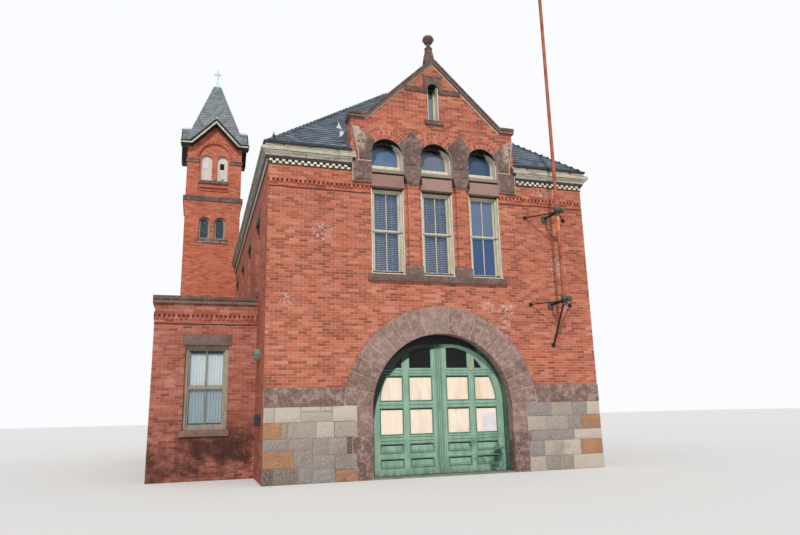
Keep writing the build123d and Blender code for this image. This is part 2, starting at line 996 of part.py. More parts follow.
def tower_walls():
    # front and rear walls, the two between them, and the ceiling
    x, y = tower_centre()
    inner = tower_size / 2 - tower_wall
    outer = tower_size / 2 + 2 * tower_flare
    under = tower_shaft_top - tower_ceiling
    return (
        block(x - outer, x + outer, y - outer, y - inner, 0, under),
        block(x - outer, x + outer, y + inner, y + outer, 0, under),
        block(x - outer, x - inner, y - inner, y + inner, 0, under),
        block(x + inner, x + outer, y - inner, y + inner, 0, under),
        block(x - inner, x + inner, y - inner, y + inner, 0, floor_top),
        block(x - outer, x + outer, y - outer, y + outer, under, tower_shaft_top),
    )


def tower_sill():
    x = tower_centre()[0]
    reach = tower_light_centre + tower_light_half_width + sill_bearing
    return block(x - reach, x + reach, tower_front - wall_sill_projection, tower_front + facing_depth,
                 tower_light_bottom - wall_sill_height, tower_light_bottom)


def tower_gable_foot():
    # where the slope under the roof reaches the eaves, out from the tower's middle
    return (tower_gable_apex - tower_eave) / tower_gable_pitch


def tower_belfry():
    x = tower_centre()[0]
    half = tower_size / 2
    foot = tower_gable_foot()
    body = square_block(half, tower_band_top, tower_eave)
    gable = front_plate(((x - foot, tower_eave), (x + foot, tower_eave), (x, tower_gable_apex)),
                        tower_front, tower_front + tower_size)
    body += gable + turned_tower(gable, 1)
    body -= square_block(half - tower_wall, tower_band_top, tower_gable_apex)
    for turns in range(4):
        for opening in belfry_openings(-1, tower_wall + 1):
            body -= turned_tower(opening, turns)
        body -= turned_tower(belfry_panel(), turns)
    for stone in belfry_sills() + belfry_bands():
        body -= stone
    return body


def belfry_openings(inset, depth):
    x = tower_centre()[0]
    y0 = tower_front + inset
    return [arched_void(x + side * belfry_opening_centre, belfry_opening_half_width, belfry_sill,
                        belfry_spring, y0, tower_front + depth) for side in (-1, 1)]


def belfry_panel():
    # shallow recess under a wide round head, which holds both openings
    x = tower_centre()[0]
    return arched_void(x, belfry_panel_half_width, tower_band_top, belfry_panel_spring,
                       tower_front - 1, tower_front + belfry_panel_recess)


def tower_band():
    half = tower_size / 2
    band = square_block(half + tower_flare + tower_band_projection, tower_shaft_top, tower_band_top)
    return band - square_block(half - tower_wall, tower_shaft_top, tower_band_top)


def belfry_sills():
    x = tower_centre()[0]
    half = belfry_panel_half_width
    sill = block(x - half, x + half, tower_front, tower_front + facing_depth,
                 belfry_sill - belfry_sill_height, belfry_sill)
    return [turned_tower(sill, turns) for turns in range(4)]


def belfry_bands():
    # an impost band round each corner, from one recess to the next
    x = tower_centre()[0]
    half = tower_size / 2
    low, high = belfry_band_bottom, belfry_band_bottom + belfry_band_height
    ring = square_block(half + belfry_band_projection, low, high)
    ring -= square_block(half - facing_depth, low, high)
    gap = block(x - belfry_panel_half_width, x + belfry_panel_half_width,
                tower_front - 2 * belfry_band_projection, tower_front + tower_wall, low, high)
    for turns in range(4):
        ring -= turned_tower(gap, turns)
    return list(ring.solids())


def tower_boards():
    boards = []
    front = belfry_panel_recess + belfry_board_depth
    for turns in range(4):
        boards += [turned_tower(opening, turns)
                   for opening in belfry_openings(front, front + belfry_board_thickness)]
    return boards


def spire_outside():
    return square_frustum(spire_half_width, spire_tip_half_width, spire_base, spire_top)


def spire_inside():
    return square_frustum(spire_half_width - spire_thickness, spire_tip_half_width / 2,
                          spire_base, spire_top - spire_thickness)


def tower_gables():
    # two crossing gable roofs with level returns at their feet, open where the spire stands
    x, y = tower_centre()
    reach = tower_size / 2 + tower_roof_overhang
    foot = tower_gable_foot()
    edge = tower_eave + tower_eave_edge
    shoulder_z = edge + tower_eave_kick
    shoulder = (tower_gable_apex + tower_roof_rise - shoulder_z) / tower_gable_pitch
    outline = (
        (x - reach, tower_eave), (x - foot, tower_eave), (x, tower_gable_apex), (x + foot, tower_eave),
        (x + reach, tower_eave), (x + reach, edge), (x + shoulder, shoulder_z),
        (x, tower_gable_apex + tower_roof_rise), (x - shoulder, shoulder_z), (x - reach, edge),
    )
    under = ((x - foot, tower_band_top), (x + foot, tower_band_top), (x + foot, tower_eave),
             (x, tower_gable_apex), (x - foot, tower_eave))
    gable = front_plate(outline, y - reach, y + reach)
    void = front_plate(under, y - reach, y + reach)
    return gable + turned_tower(gable, 1) - void - turned_tower(void, 1)


def tower_roof():
    return tower_gables() - spire_outside()


def tower_spire():
    x, y = tower_centre()
    foot = tower_gable_foot()
    reach = 2 * tower_size
    under = ((x - foot, tower_band_top), (x + foot, tower_band_top), (x + foot, tower_eave),
             (x, tower_gable_apex), (x - foot, tower_eave))
    void = front_plate(under, y - reach, y + reach)
    spire = spire_outside() - spire_inside() - void - turned_tower(void, 1)
    side = extrude(make_face(Polyline((x, y), (x - reach, y - reach), (x + reach, y - reach), close=True)),
                   amount=tower_top)
    return [spire & turned_tower(side, turns) for turns in range(4)]


def tower_finial():
    x, y = tower_centre()
    finial = square_frustum(skirt_half_width, skirt_waist, skirt_bottom, skirt_middle)
    finial += square_frustum(skirt_waist, finial_stem_radius, skirt_middle, skirt_top)
    finial += post(x, y, finial_stem_radius, skirt_middle, tower_top)
    half = cross_thickness / 2
    finial += block(x - cross_half_span, x + cross_half_span, y - half, y + half,
                    cross_height - half, cross_height + half)
    return finial - spire_outside()


def tower_frames():
    return [round_frame(x, tower_light_half_width, tower_light_bottom, tower_light_spring,
                        tower_front + sash_front) for x in tower_light_places()]


def tower_glass():
    return [round_glass(x, tower_light_half_width, tower_light_bottom, tower_light_spring,
                        tower_front + sash_front) for x in tower_light_places()]


# Mast and brackets
def mast():
    pole = post(mast_x, -mast_stand_off, mast_radius, mast_foot, mast_top)
    return pole + Pos(mast_x, -mast_stand_off, mast_top + mast_ball_radius / 2) * Sphere(mast_ball_radius)


def rod(start, end, radius):
    a, b = Vector(*start), Vector(*end)
    return Plane(origin=(a + b) / 2, z_dir=b - a) * Cylinder(radius, (b - a).length)


def bracket_foot(x, z):
    return round_bar(x, z, foot_radius, -foot_thickness, 0)


def mast_bracket(z, with_strut):
    # clamp on the mast, a bar and two stays to the wall, and a strut below the lower clamp
    y = -mast_stand_off
    bracket = post(mast_x, y, mast_radius + clamp_wall, z - clamp_height / 2, z + clamp_height / 2)
    bracket += Pos(mast_x + clamp_ball_reach, y, z + clamp_ball_radius) * Sphere(clamp_ball_radius)
    bracket += rod((mast_x, y, z), (mast_x + clamp_ball_reach, y, z + clamp_ball_radius), stay_radius * 2)
    half = bracket_bar / 2
    bracket += block(mast_x - half, mast_x + half, y, 0, z - half, z + half)
    bracket += bracket_foot(mast_x, z)
    for side in (-1, 1):
        x = mast_x + side * bracket_spread
        bracket += rod((mast_x, y, z), (x, -foot_thickness, z), stay_radius)
        bracket += bracket_foot(x, z)
    if with_strut:
        bracket += rod((mast_x, y, z), (mast_x, -foot_thickness, z - strut_drop), strut_radius)
        bracket += bracket_foot(mast_x, z - strut_drop)
    return bracket - post(mast_x, y, mast_radius, 0, tower_top)


def main():
    os.makedirs("parts", exist_ok=True)
    save("floors", *ground_floors(), upper_floor())
    save("door_arch", door_arch())
    save("door_frame", door_frame())
    save("right_door_leaf", right_leaf())
    save("left_door_leaf", mirrored(right_leaf()))
    save("right_door_boards", *right_leaf_boards())
    save("left_door_boards", *[mirrored(shape) for shape in right_leaf_boards()])
    save("right_door_glass", *right_leaf_glass())
    save("left_door_glass", *[mirrored(shape) for shape in right_leaf_glass()])
    save("right_door_hinges", *right_leaf_hinges())
    save("left_door_hinges", *[mirrored(shape) for shape in right_leaf_hinges()])
    pins = right_frame_hinges()
    save("frame_hinges", *pins, *[mirrored(shape) for shape in pins])
    save("front_wall_right", front_wall_side())
    save("front_wall_left", mirrored(front_wall_side()))
    save("base_stones", base_stones_right(), mirrored(base_stones_right()))
    save("belt_course", belt_course_right(), mirrored(belt_course_right()))
    save("front_wall_upper", front_wall_upper())
    save("gable_wall", gable_wall())
    save("spandrel_stones", *[maker(side) for side in (-1, 1) for maker in (spandrel_stone, side_block)])
    save("gable_stones", *gable_trim())
    save("stone_copings", gable_coping(), annex_coping())
    save("gable_finial", gable_finial())
    save("front_window_frames", *front_frames())
    save("front_window_glass", *front_glass())
    save("front_window_stones", *front_window_stones())
    save("left_wall", left_wall())
    save("right_wall", right_wall())
    save("rear_wall", rear_wall())
    save("cornices", cornices())
    save("main_roof", *main_roof())
    save("gable_roof", gable_roof())
    save("annex_walls", annex_walls())
    save("annex_roof", annex_roof())
    save("tower_shaft", *tower_shaft())
    save("tower_belfry", tower_belfry())
    save("tower_stones", tower_band(), tower_sill(), *belfry_sills(), *belfry_bands())
    save("tower_boards", *tower_boards())
    save("tower_roof", tower_roof())
    save("tower_spire", *tower_spire())
    save("tower_finial", tower_finial())
    stones = side_stones(-1, left_window_places()) + side_stones(1, side_window_places())
    save("wall_window_stones", *stones, *rear_stones(), *annex_stones())
    save("wall_window_frames", *wall_joinery(window_frame), *tower_frames())
    save("wall_window_glass", *wall_joinery(window_glass), *tower_glass())
    save("mast", mast())
    lower = mast_bracket(bracket_bottom, True)
    save("mast_brackets", lower, mast_bracket(bracket_bottom + bracket_step, False))


main()
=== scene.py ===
# Looks of a brick fire station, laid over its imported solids.
# Metres: +X to the right of the front, +Y into the building, +Z up.
import math
import random

import bmesh
import bpy
import numpy as np
from mathutils import Matrix, Vector, noise


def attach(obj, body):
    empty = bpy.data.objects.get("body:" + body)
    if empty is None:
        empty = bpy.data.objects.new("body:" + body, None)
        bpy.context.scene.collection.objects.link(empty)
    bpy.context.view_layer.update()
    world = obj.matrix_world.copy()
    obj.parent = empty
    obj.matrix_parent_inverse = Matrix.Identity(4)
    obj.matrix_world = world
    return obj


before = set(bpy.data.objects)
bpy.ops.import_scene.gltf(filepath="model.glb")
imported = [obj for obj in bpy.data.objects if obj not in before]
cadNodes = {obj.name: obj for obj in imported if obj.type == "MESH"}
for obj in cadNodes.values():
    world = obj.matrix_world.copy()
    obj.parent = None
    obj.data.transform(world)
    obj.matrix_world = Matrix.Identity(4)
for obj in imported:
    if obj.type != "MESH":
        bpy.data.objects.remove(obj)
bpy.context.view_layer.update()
print("frame loaded:", len(cadNodes), "nodes")


def tint(colour):
    # a colour as seen on screen, 0 to 255, as Blender's linear values; a wire stays a wire
    if not isinstance(colour, tuple):
        return colour
    return (*[c / 255 / 12.92 if c <= 10 else ((c / 255 + 0.055) / 1.055) ** 2.4 for c in colour], 1.0)


def pick(values, names):
    return [values[name] for name in names.split()]


def link(name, data):
    made = bpy.data.objects.new(name, data)
    bpy.context.scene.collection.objects.link(made)
    return made


# Camera, solved from the edges of the front
cameraView = {"place": (-5.588, -14.279, 1.428), "yaw": 17.774, "pitch": 12.762, "roll": -1.401,
              "lens": 28.86, "sensor": 36, "reach": 500}


def makeCamera():
    yaw, pitch, roll = (math.radians(cameraView[key]) for key in ("yaw", "pitch", "roll"))
    ahead = Vector((math.sin(yaw) * math.cos(pitch), math.cos(yaw) * math.cos(pitch), math.sin(pitch)))
    level = Vector((math.cos(yaw), -math.sin(yaw), 0))
    upright = level.cross(ahead)
    right = level * math.cos(roll) + upright * math.sin(roll)
    up = upright * math.cos(roll) - level * math.sin(roll)
    data = bpy.data.cameras.new("photoCamera")
    data.lens, data.sensor_width, data.clip_end = cameraView["lens"], cameraView["sensor"], cameraView["reach"]
    camera = link("photoCamera", data)
    turn = Matrix((right, up, -ahead)).transposed()
    camera.matrix_world = Matrix.Translation(cameraView["place"]) @ turn.to_4x4()
    bpy.context.scene.camera = camera


# Shader maths as plain arithmetic
class Wire:
    # one output socket of a node tree
    def __init__(self, owner, socket):
        self.owner = owner
        self.socket = socket

    def maths(self, operation, *others, swapped=False):
        values = [self, *others]
        if swapped:
            values.reverse()
        return self.owner.node("ShaderNodeMath", {"operation": operation}, dict(enumerate(values)))

    def __add__(self, other):
        return self.maths("ADD", other)

    def __sub__(self, other):
        return self.maths("SUBTRACT", other)

    def __rsub__(self, other):
        return self.maths("SUBTRACT", other, swapped=True)

    def __mul__(self, other):
        return self.maths("MULTIPLY", other)

    def __truediv__(self, other):
        return self.maths("DIVIDE", other)

    def __mod__(self, other):
        return self.maths("FLOORED_MODULO", other)

    def __gt__(self, other):
        return self.maths("GREATER_THAN", other)

    def __lt__(self, other):
        return self.maths("LESS_THAN", other)

    def __abs__(self):
        return self.maths("ABSOLUTE")

    __radd__ = __add__
    __rmul__ = __mul__

    def floor(self):
        return self.maths("FLOOR")

    def least(self, other):
        return self.maths("MINIMUM", other)

    def most(self, other):
        return self.maths("MAXIMUM", other)

    def clamped(self):
        return self.least(1.0).most(0.0)

    def hypot(self, other):
        return (self * self + other * other).maths("SQRT")

    def between(self, low, high):
        # 0 below low, 1 above high, smooth in between
        return self.owner.node("ShaderNodeMapRange", {"interpolation_type": "SMOOTHSTEP"},
                               {"Value": self, "From Min": low, "From Max": high})

    def band(self, start, full, fade, gone):
        # 1 from full to fade, and 0 outside start and gone
        return self.between(start, full) * (1.0 - self.between(fade, gone))


class Wiring:
    # a node tree; node() makes any node, and plug() sets or links a socket
    def __init__(self, tree):
        self.tree = tree

    def plug(self, socket, value):
        if isinstance(value, Wire):
            self.tree.links.new(value.socket, socket)
        else:
            socket.default_value = value

    def node(self, kind, settings=None, sockets=None, out=0):
        made = self.tree.nodes.new(kind)
        for name, value in (settings or {}).items():
            if name == "stops":
                self.setStops(made.color_ramp, value)
            else:
                setattr(made, name, value)
        for name, value in (sockets or {}).items():
            self.plug(made.inputs[name], value)
        return Wire(self, made.outputs[out])

    def setStops(self, ramp, stops):
        while len(ramp.elements) > 1:
            ramp.elements.remove(ramp.elements[-1])
        for count, (place, colour) in enumerate(stops):
            stop = ramp.elements.new(place) if count else ramp.elements[0]
            stop.position = place
            stop.color = tint(colour)


class Recipe(Wiring):
    # one material; feed() fills the shader's sockets
    def __init__(self, **plain):
        self.material = bpy.data.materials.new("finish")
        self.material.use_nodes = True
        super().__init__(self.material.node_tree)
        self.shader = self.tree.nodes["Principled BSDF"]
        self.made = {}
        self.feed(**plain)

    def feed(self, **values):
        for name, value in values.items():
            self.plug(next(socket for socket in self.shader.inputs
                           if socket.name.replace(" ", "").lower() == name.lower()), value)

    def finished(self, colour, roughness, height, depth, strength):
        normal = self.node("ShaderNodeBump", sockets={"Height": height, "Distance": depth, "Strength": strength})
        self.feed(baseColor=colour, roughness=roughness, normal=normal)
        return self.material

    def once(self, label, make):
        if label not in self.made:
            self.made[label] = make()
        return self.made[label]

    def split(self, vector):
        parted = self.node("ShaderNodeSeparateXYZ", sockets={0: vector}).socket.node
        return [Wire(self, socket) for socket in parted.outputs]

    def coords(self):
        return self.once("coords", lambda: self.node("ShaderNodeTexCoord", out="Object"))

    def axes(self):
        return self.once("axes", lambda: self.split(self.coords()))

    def facing(self):
        # how far the surface faces along X, Y and Z
        return self.once("facing", lambda: self.split(self.node("ShaderNodeNewGeometry", out="True Normal")))

    def vector(self, x, y, z):
        return self.node("ShaderNodeCombineXYZ", sockets={0: x, 1: y, 2: z})

    def stretched(self, x, y, z):
        # Object coordinates with a scale along each axis
        return self.node("ShaderNodeMapping", sockets={"Vector": self.coords(), "Scale": (x, y, z)})

    def cloud(self, scale, detail=3.0, rough=0.55, at=None):
        return self.node("ShaderNodeTexNoise", sockets={
            "Vector": at or self.coords(), "Scale": scale, "Detail": detail, "Roughness": rough})

    def chance(self, x, y, z):
        return self.node("ShaderNodeTexWhiteNoise", {"noise_dimensions": "3D"}, {"Vector": self.vector(x, y, z)},
                         "Value")

    def ramp(self, value, *stops):
        return self.node("ShaderNodeValToRGB", {"stops": stops}, {"Fac": value})

    def shades(self, value, palette):
        # the palette spread evenly over 0 to 1
        return self.ramp(value.clamped(), *((n / (len(palette) - 1), shade) for n, shade in enumerate(palette)))

    def blend(self, factor, first, second):
        return self.node("ShaderNodeMix", {"data_type": "RGBA"}, {0: factor, 6: tint(first), 7: tint(second)}, 2)

    def tone(self):
        # the shade that each laid or cut piece carries
        return self.node("ShaderNodeAttribute", {"attribute_name": "tone"}, out="Fac")


# Brickwork: one grid of courses for the whole building, on the walls' own faces and on the laid bricks
brickwork = {"course": 0.0666, "length": 0.215, "joint": 0.009, "proud": 0.005, "bed": 0.012}


def brickFinish(palette, joints=None, soot=0.0, sootTop=1.0, washed=0.3, spills=()):
    # with no joint colours it is for loose bricks, which carry their own tone
    recipe = Recipe(specularIORLevel=0.25)
    x, y, z = recipe.axes()
    broad, speckle = recipe.cloud(0.9, 4.0), recipe.cloud(70.0, 3.0, 0.7)
    if joints:
        length, high, joint = brickwork["length"], brickwork["course"], brickwork["joint"]
        sideways = abs(recipe.facing()[0]) > 0.5
        course = (z / high).floor()
        along = (x + (y - x) * sideways) / length + (course % 2) * 0.5
        brick = along.floor()
        fromEnd = (0.5 - abs(along - brick - 0.5)) * length
        fromBed = (0.5 - abs(z / high - course - 0.5)) * high
        body = fromEnd.least(fromBed).between(joint * 0.3, joint * 0.52)
        shade = recipe.chance(brick, course, sideways * 7.0)
    else:
        body, shade = speckle.between(0.1, 0.3), recipe.tone()
    colour = recipe.shades(shade * 0.72 + broad * 0.55 - 0.14, palette)
    colour = recipe.blend(speckle.between(0.35, 0.75) * 0.18, colour, (124, 68, 52))
    wash = recipe.cloud(1.7, 6.0, 0.7).between(0.56, 0.74) * washed
    colour = recipe.blend(wash, colour, (214, 172, 152))
    if joints:
        mortar = recipe.ramp(recipe.cloud(9.0), (0.3, joints[0]), (0.7, joints[1]))
        colour = recipe.blend(body, mortar, colour)
    for spillX, spillZ, reach in spills:
        near = 1.0 - (x - spillX).hypot(z - spillZ).between(reach * 0.3, reach)
        spill = near * recipe.cloud(13.0, 6.0, 0.75).between(0.5, 0.6)
        colour = recipe.blend(spill * 0.8, colour, (216, 200, 190))
    if soot:
        grime = recipe.cloud(1.3, 6.0, 0.7).between(0.34, 0.62) * (1.0 - z.between(sootTop * 0.35, sootTop))
        colour = recipe.blend(grime * soot, colour, (52, 30, 27))
    return recipe.finished(colour, 0.8 + 0.12 * speckle, body * 0.7 + speckle * 0.3, 0.004, 0.8)


def stoneFinish(palette, grain=26.0, depth=0.02, stain=(70, 52, 47), stained=0.5, own=0.7, mottle=None,
                ochre=False, limed=False):
    recipe = Recipe(specularIORLevel=0.2)
    block = recipe.tone()
    broad = recipe.cloud(2.2, 5.0, 0.65)
    fine = recipe.cloud(grain, 6.0, 0.72)
    colour = recipe.shades(block * own + (broad - 0.5) * 1.6 * (1.0 - own) + (1.0 - own) * 0.5, palette)
    if mottle:
        colour = recipe.blend(recipe.cloud(5.5, 6.0, 0.75).between(0.47, 0.6) * 0.6, colour, mottle)
    colour = recipe.blend(fine.between(0.4, 0.75) * 0.45, colour, tuple(min(255, c + 26) for c in palette[-1]))
    colour = recipe.blend((1.0 - fine.between(0.25, 0.5)) * 0.35, colour, stain)
    colour = recipe.blend(recipe.cloud(1.1, 6.0, 0.7).between(0.52, 0.7) * stained, colour, stain)
    if ochre:
        rusty = recipe.ramp(fine * 0.6 + broad * 0.4, (0.38, (112, 70, 40)), (0.62, (184, 126, 72)))
        colour = recipe.blend(block.between(0.93, 0.95) * 0.82, colour, rusty)
    if limed:
        # old mortar on the outer shoulders of the stones beside the round lights
        x, _, z = recipe.axes()
        lime = recipe.cloud(8.0, 6.0, 0.75).between(0.40, 0.54) * abs(x).between(1.80, 1.95)
        colour = recipe.blend(lime * z.band(7.6, 7.84, 8.36, 8.4) * 0.85, colour, (196, 172, 156))
    return recipe.finished(colour, 0.9 - 0.1 * fine, fine + broad, depth, 0.9)


def paintFinish(colour, worn, under, wear, gloss=0.5):
    # weathered paint on wood: dirt in streaks, and chips where the wood shows
    recipe = Recipe(specularIORLevel=0.4)
    streaks = recipe.cloud(4.0, 5.0, 0.6, recipe.stretched(3.0, 3.0, 0.6))
    fine = recipe.cloud(60.0, 4.0, 0.7)
    shade = recipe.blend(streaks.between(0.35, 0.7) * 0.8, colour, worn)
    chips = recipe.cloud(17.0, 8.0, 0.75).between(0.66 - 0.12 * wear, 0.69 - 0.1 * wear) * min(1.0, wear * 2)
    shade = recipe.blend(chips, shade, under)
    return recipe.finished(shade, gloss + 0.25 * streaks, fine * 0.4 - chips * 0.6, 0.003, 0.6)


def boardFinish(light, dark, varied=False):
    # bare boards with long grain; a varied one has its own shade in each panel of the doors
    recipe = Recipe(specularIORLevel=0.25)
    grain = recipe.cloud(1.4, 5.0, 0.6, recipe.stretched(26.0, 26.0, 1.6))
    broad = recipe.cloud(2.4, 2.0)
    colour = recipe.ramp((grain * 0.7 + broad * 0.3).clamped(), (0.3, dark), (0.6, light))
    if varied:
        x, _, z = recipe.axes()
        lot = recipe.chance((x / 0.838).floor(), (z / 1.615).floor(), 5.0)
        stain = recipe.cloud(2.4, 3.0, 0.5, recipe.stretched(1.8, 1.0, 0.5)).between(0.44, 0.6)
        colour = recipe.blend((0.2 + 0.8 * lot) * stain * 0.7, colour, (208, 172, 126))
        colour = recipe.blend((1.0 - lot) * 0.6, colour, (246, 226, 212))
    return recipe.finished(colour, 0.55 + 0.3 * grain, grain, 0.002, 0.5)


def slateFinish(palette, moss=0.0):
    recipe = Recipe(specularIORLevel=0.35)
    broad, fine = recipe.cloud(0.8, 4.0), recipe.cloud(40.0, 5.0, 0.7)
    colour = recipe.shades(recipe.tone() * 0.75 + broad * 0.45 - 0.1, palette)
    colour = recipe.blend(fine.between(0.45, 0.8) * 0.25, colour, palette[-1])
    if moss:
        colour = recipe.blend(recipe.cloud(1.9, 6.0, 0.7).between(0.5, 0.7) * moss, colour, (112, 122, 96))
    # painted shade on the slates' undersides
    colour = recipe.blend((recipe.facing()[2] < -0.2) * 0.92, colour, (30, 26, 24))  # dark underside
    return recipe.finished(colour, 0.62 + 0.2 * fine, fine, 0.004, 0.7)


def metalFinish(colour, worn, metallic, roughness=0.6, patch=0.5, scale=14.0):
    recipe = Recipe(metallic=metallic)
    rust, pits = recipe.cloud(scale, 7.0, 0.7), recipe.cloud(120.0, 3.0, 0.6)
    shade = recipe.blend(rust.between(0.5, 0.66) * patch, colour, worn)
    return recipe.finished(shade, roughness + 0.3 * rust - 0.1, rust + pits * 0.3, 0.004, 0.6)


def glassFinish(colour, streak, alpha):
    # old window glass: slightly wavy, with faint dirt
    recipe = Recipe(alpha=alpha, specularIORLevel=0.5)
    wave, dirt = recipe.cloud(2.6, 2.0, 0.4), recipe.cloud(9.0, 6.0, 0.7)
    shade = recipe.blend(wave.between(0.3, 0.7), colour, streak)
    return recipe.finished(shade, 0.06 + 0.12 * dirt.between(0.5, 0.8), wave, 0.01, 0.12)


def plainFinish(colour, second, scale=8.0, roughness=0.85, depth=0.004):
    recipe = Recipe(specularIORLevel=0.25)
    patch, fine = recipe.cloud(scale, 6.0, 0.65), recipe.cloud(scale * 12, 4.0, 0.7)
    shade = recipe.blend(patch.between(0.35, 0.7), colour, second)
    return recipe.finished(shade, roughness + 0.1 * fine, patch * 0.5 + fine * 0.5, depth, 0.7)


def doorFinish():
    # green paint, dirty in streaks and at the foot, most of all at the right, with a painted shadow of the arch over
    # the upper left of the left leaf
    recipe = Recipe(specularIORLevel=0.4)
    x, _, z = recipe.axes()
    streaks = recipe.cloud(2.6, 5.0, 0.62, recipe.stretched(2.4, 2.4, 0.7))
    level = recipe.cloud(2.4, 6.0, 0.7, recipe.stretched(1.0, 1.0, 1.2))
    fine = recipe.cloud(70.0, 4.0, 0.7)
    low = 1.0 - z.between(0.45, 1.15)
    shade = recipe.blend(streaks.between(0.35, 0.72) * (0.55 + 0.3 * low), (142, 172, 152), (88, 132, 110))
    grime = level.between(0.44, 0.64) * low * (0.15 + 0.85 * x.between(-0.2, 1.2))
    shade = recipe.blend(grime, shade, (36, 60, 50))
    edge = (1.0 - z.between(0.03, 0.16)) * streaks.between(0.35, 0.6) * 0.5
    shade = recipe.blend(edge, shade, (58, 74, 64))
    # painted shadow: the arch's shadow cast on the upper left of the left leaf, near black
    high = (x - 0.112).hypot(z - 1.19).between(1.71, 1.75) * z.between(1.2, 1.4) * (1.0 - x.between(-0.15, 0.3))
    shade = recipe.blend(high * 0.95, shade, (10, 13, 12))
    return recipe.finished(shade, 0.42 + 0.25 * streaks, streaks * 0.5 + fine * 0.3, 0.003, 0.6)


def frameFinish():
    # nearly black painted shade round the leaves, where the arch shades the frame, with the frame's own green showing
    # only at the edge beside the right one
    recipe = Recipe(specularIORLevel=0.3)
    x, _, z = recipe.axes()
    edge = (1.0 - (x - 0.28).hypot((z - 1.665).most(0.0)).between(1.44, 1.46)) * x.between(0.9, 1.05)
    wear = recipe.cloud(6.0, 5.0, 0.65)
    # painted shade: the near-black mix stands for the frame in the arch's shade
    dark = recipe.blend(wear.between(0.4, 0.7), (17, 20, 20), (30, 34, 32))
    green = recipe.blend(wear.between(0.35, 0.7), (66, 100, 82), (42, 68, 56))
    return recipe.finished(recipe.blend(edge, dark, green), 0.6 + 0.2 * wear, wear, 0.004, 0.5)


def mastFinish():
    # red paint on iron, rubbed pale in places below the upper clamp
    recipe = Recipe(specularIORLevel=0.3)
    rust = recipe.cloud(7.0, 7.0, 0.7, recipe.stretched(1.0, 1.0, 0.35))
    shade = recipe.blend(rust.between(0.45, 0.62), (178, 94, 68), (122, 64, 49))
    rubbed = rust.between(0.4, 0.5) * recipe.axes()[2].band(5.75, 5.9, 6.2, 6.24)
    shade = recipe.blend(rubbed * 0.9, shade, (216, 150, 96))
    return recipe.finished(shade, 0.5 + 0.3 * rust, rust, 0.004, 0.6)


def clothFinish():
    # thin curtain cloth, greyer behind the lower sash
    recipe = Recipe(specularIORLevel=0.1, sheenWeight=0.2)
    x, _, z = recipe.axes()
    weave = (x * 900.0).maths("SINE") * (z * 900.0).maths("SINE")
    soft = recipe.cloud(3.0, 3.0)
    shade = recipe.blend(z.between(2.06, 2.16), (182, 198, 202), (242, 253, 255))
    shade = recipe.blend(soft.between(0.4, 0.8) * 0.2, shade, (206, 218, 218))
    return recipe.finished(shade, 0.9 + 0.05 * soft, weave, 0.0004, 0.5)


def sashFinish():
    # cream sashes of the front, with painted shade in the round heads, at the slit's head and under the transom
    # panels, and painted shadow below the meeting rails and along the bottom
    recipe = Recipe(specularIORLevel=0.4)
    x, _, z = recipe.axes()
    streaks = recipe.cloud(4.0, 5.0, 0.6, recipe.stretched(3.0, 3.0, 0.6))
    shade = recipe.blend(streaks.between(0.35, 0.7) * 0.8, (196, 190, 168), (166, 158, 136))
    across = (x + 1.9275) % 1.285 - 0.6425  # from the middle of each window
    # painted shade: near black in the round heads but for their lit right sides, in the slit's head, under the
    # transom panels and along the bottom; a bluish painted shadow below each meeting rail
    head = z.band(7.74, 7.8, 8.2, 8.3) * (1.0 - across.between(0.2, 0.27))
    railShadow, slit = z.band(5.684, 5.69, 5.73, 5.736), z.between(9.60, 9.66)
    dark = head.most(z.band(6.772, 6.778, 6.84, 6.85)).most(1.0 - z.between(4.742, 4.748)).most(slit)
    shade = recipe.blend(railShadow * 0.85, shade, (70, 78, 96))
    shade = recipe.blend(dark * 0.95, shade, (20, 18, 18))
    return recipe.finished(shade, 0.5 + 0.25 * streaks, streaks, 0.003, 0.6)


def frontGlassFinish():
    # clearer where blinds hang behind; the blues and greys of each pane are painted reflections, and the round heads
    # and the slit's head are painted shade
    recipe = Recipe(specularIORLevel=0.45)
    x, _, z = recipe.axes()
    wave = recipe.cloud(2.6, 2.0, 0.4)
    right, upper = x.between(0.6, 0.65), z.between(7.0, 7.1)
    # painted shade on the glass in the round heads and the slit's head
    head = z.band(7.82, 7.98, 8.2, 8.3).most(z.between(9.56, 9.66))
    # painted reflections: a different blue or grey for each pane
    shade = recipe.blend(wave.between(0.3, 0.7), (86, 116, 156), (106, 130, 164))
    for share, colour in ((right * 0.8, (106, 122, 152)),
                          (right * (1.0 - z.between(5.68, 5.72)) * 0.85, (44, 80, 128)),
                          (upper * right * 0.85, (54, 84, 120)),
                          (upper * (1.0 - abs(x).between(0.5, 0.6)) * 0.8, (122, 132, 144)),
                          (head * 0.95, (14, 15, 18))):
        shade = recipe.blend(share, shade, colour)
    seen = (1.0 - right) * (1.0 - upper)
    recipe.feed(alpha=(0.78 - 0.52 * seen + 0.4 * z.between(8.6, 8.7)).clamped())
    return recipe.finished(shade, 0.08 + 0.1 * wave, wave, 0.01, 0.12)


def corniceFinish():
    # cream paint with chips; painted shade in the grooves, on the sides that face along X (with some weathering) and,
    # together with soot, below the lower fascia where the dentils stand
    recipe = Recipe(specularIORLevel=0.4)
    z = recipe.axes()[2]
    streaks = recipe.cloud(3.2, 6.0, 0.65, recipe.stretched(1.2, 1.2, 5.0))
    chips = recipe.cloud(15.0, 8.0, 0.75).between(0.6, 0.63)
    # painted shade: dark lines in the grooves between the fascias
    grooveShade = z.band(7.45, 7.456, 7.468, 7.474).most(z.band(7.566, 7.572, 7.600, 7.606))
    shade = recipe.blend(streaks.between(0.38, 0.7), (198, 192, 176), (146, 139, 122))
    # painted shade on the sides and, with soot, in the band under the lower fascia
    for share, colour in ((chips * 0.85, (92, 78, 66)), (abs(recipe.facing()[0]) * 0.72, (70, 65, 58)),
                          (grooveShade * 0.75, (60, 52, 46)), ((1.0 - z.between(7.352, 7.372)) * 0.94, (34, 27, 25))):
        shade = recipe.blend(share, shade, colour)
    return recipe.finished(shade, 0.62 + 0.2 * streaks, streaks - chips * 0.4, 0.004, 0.6)


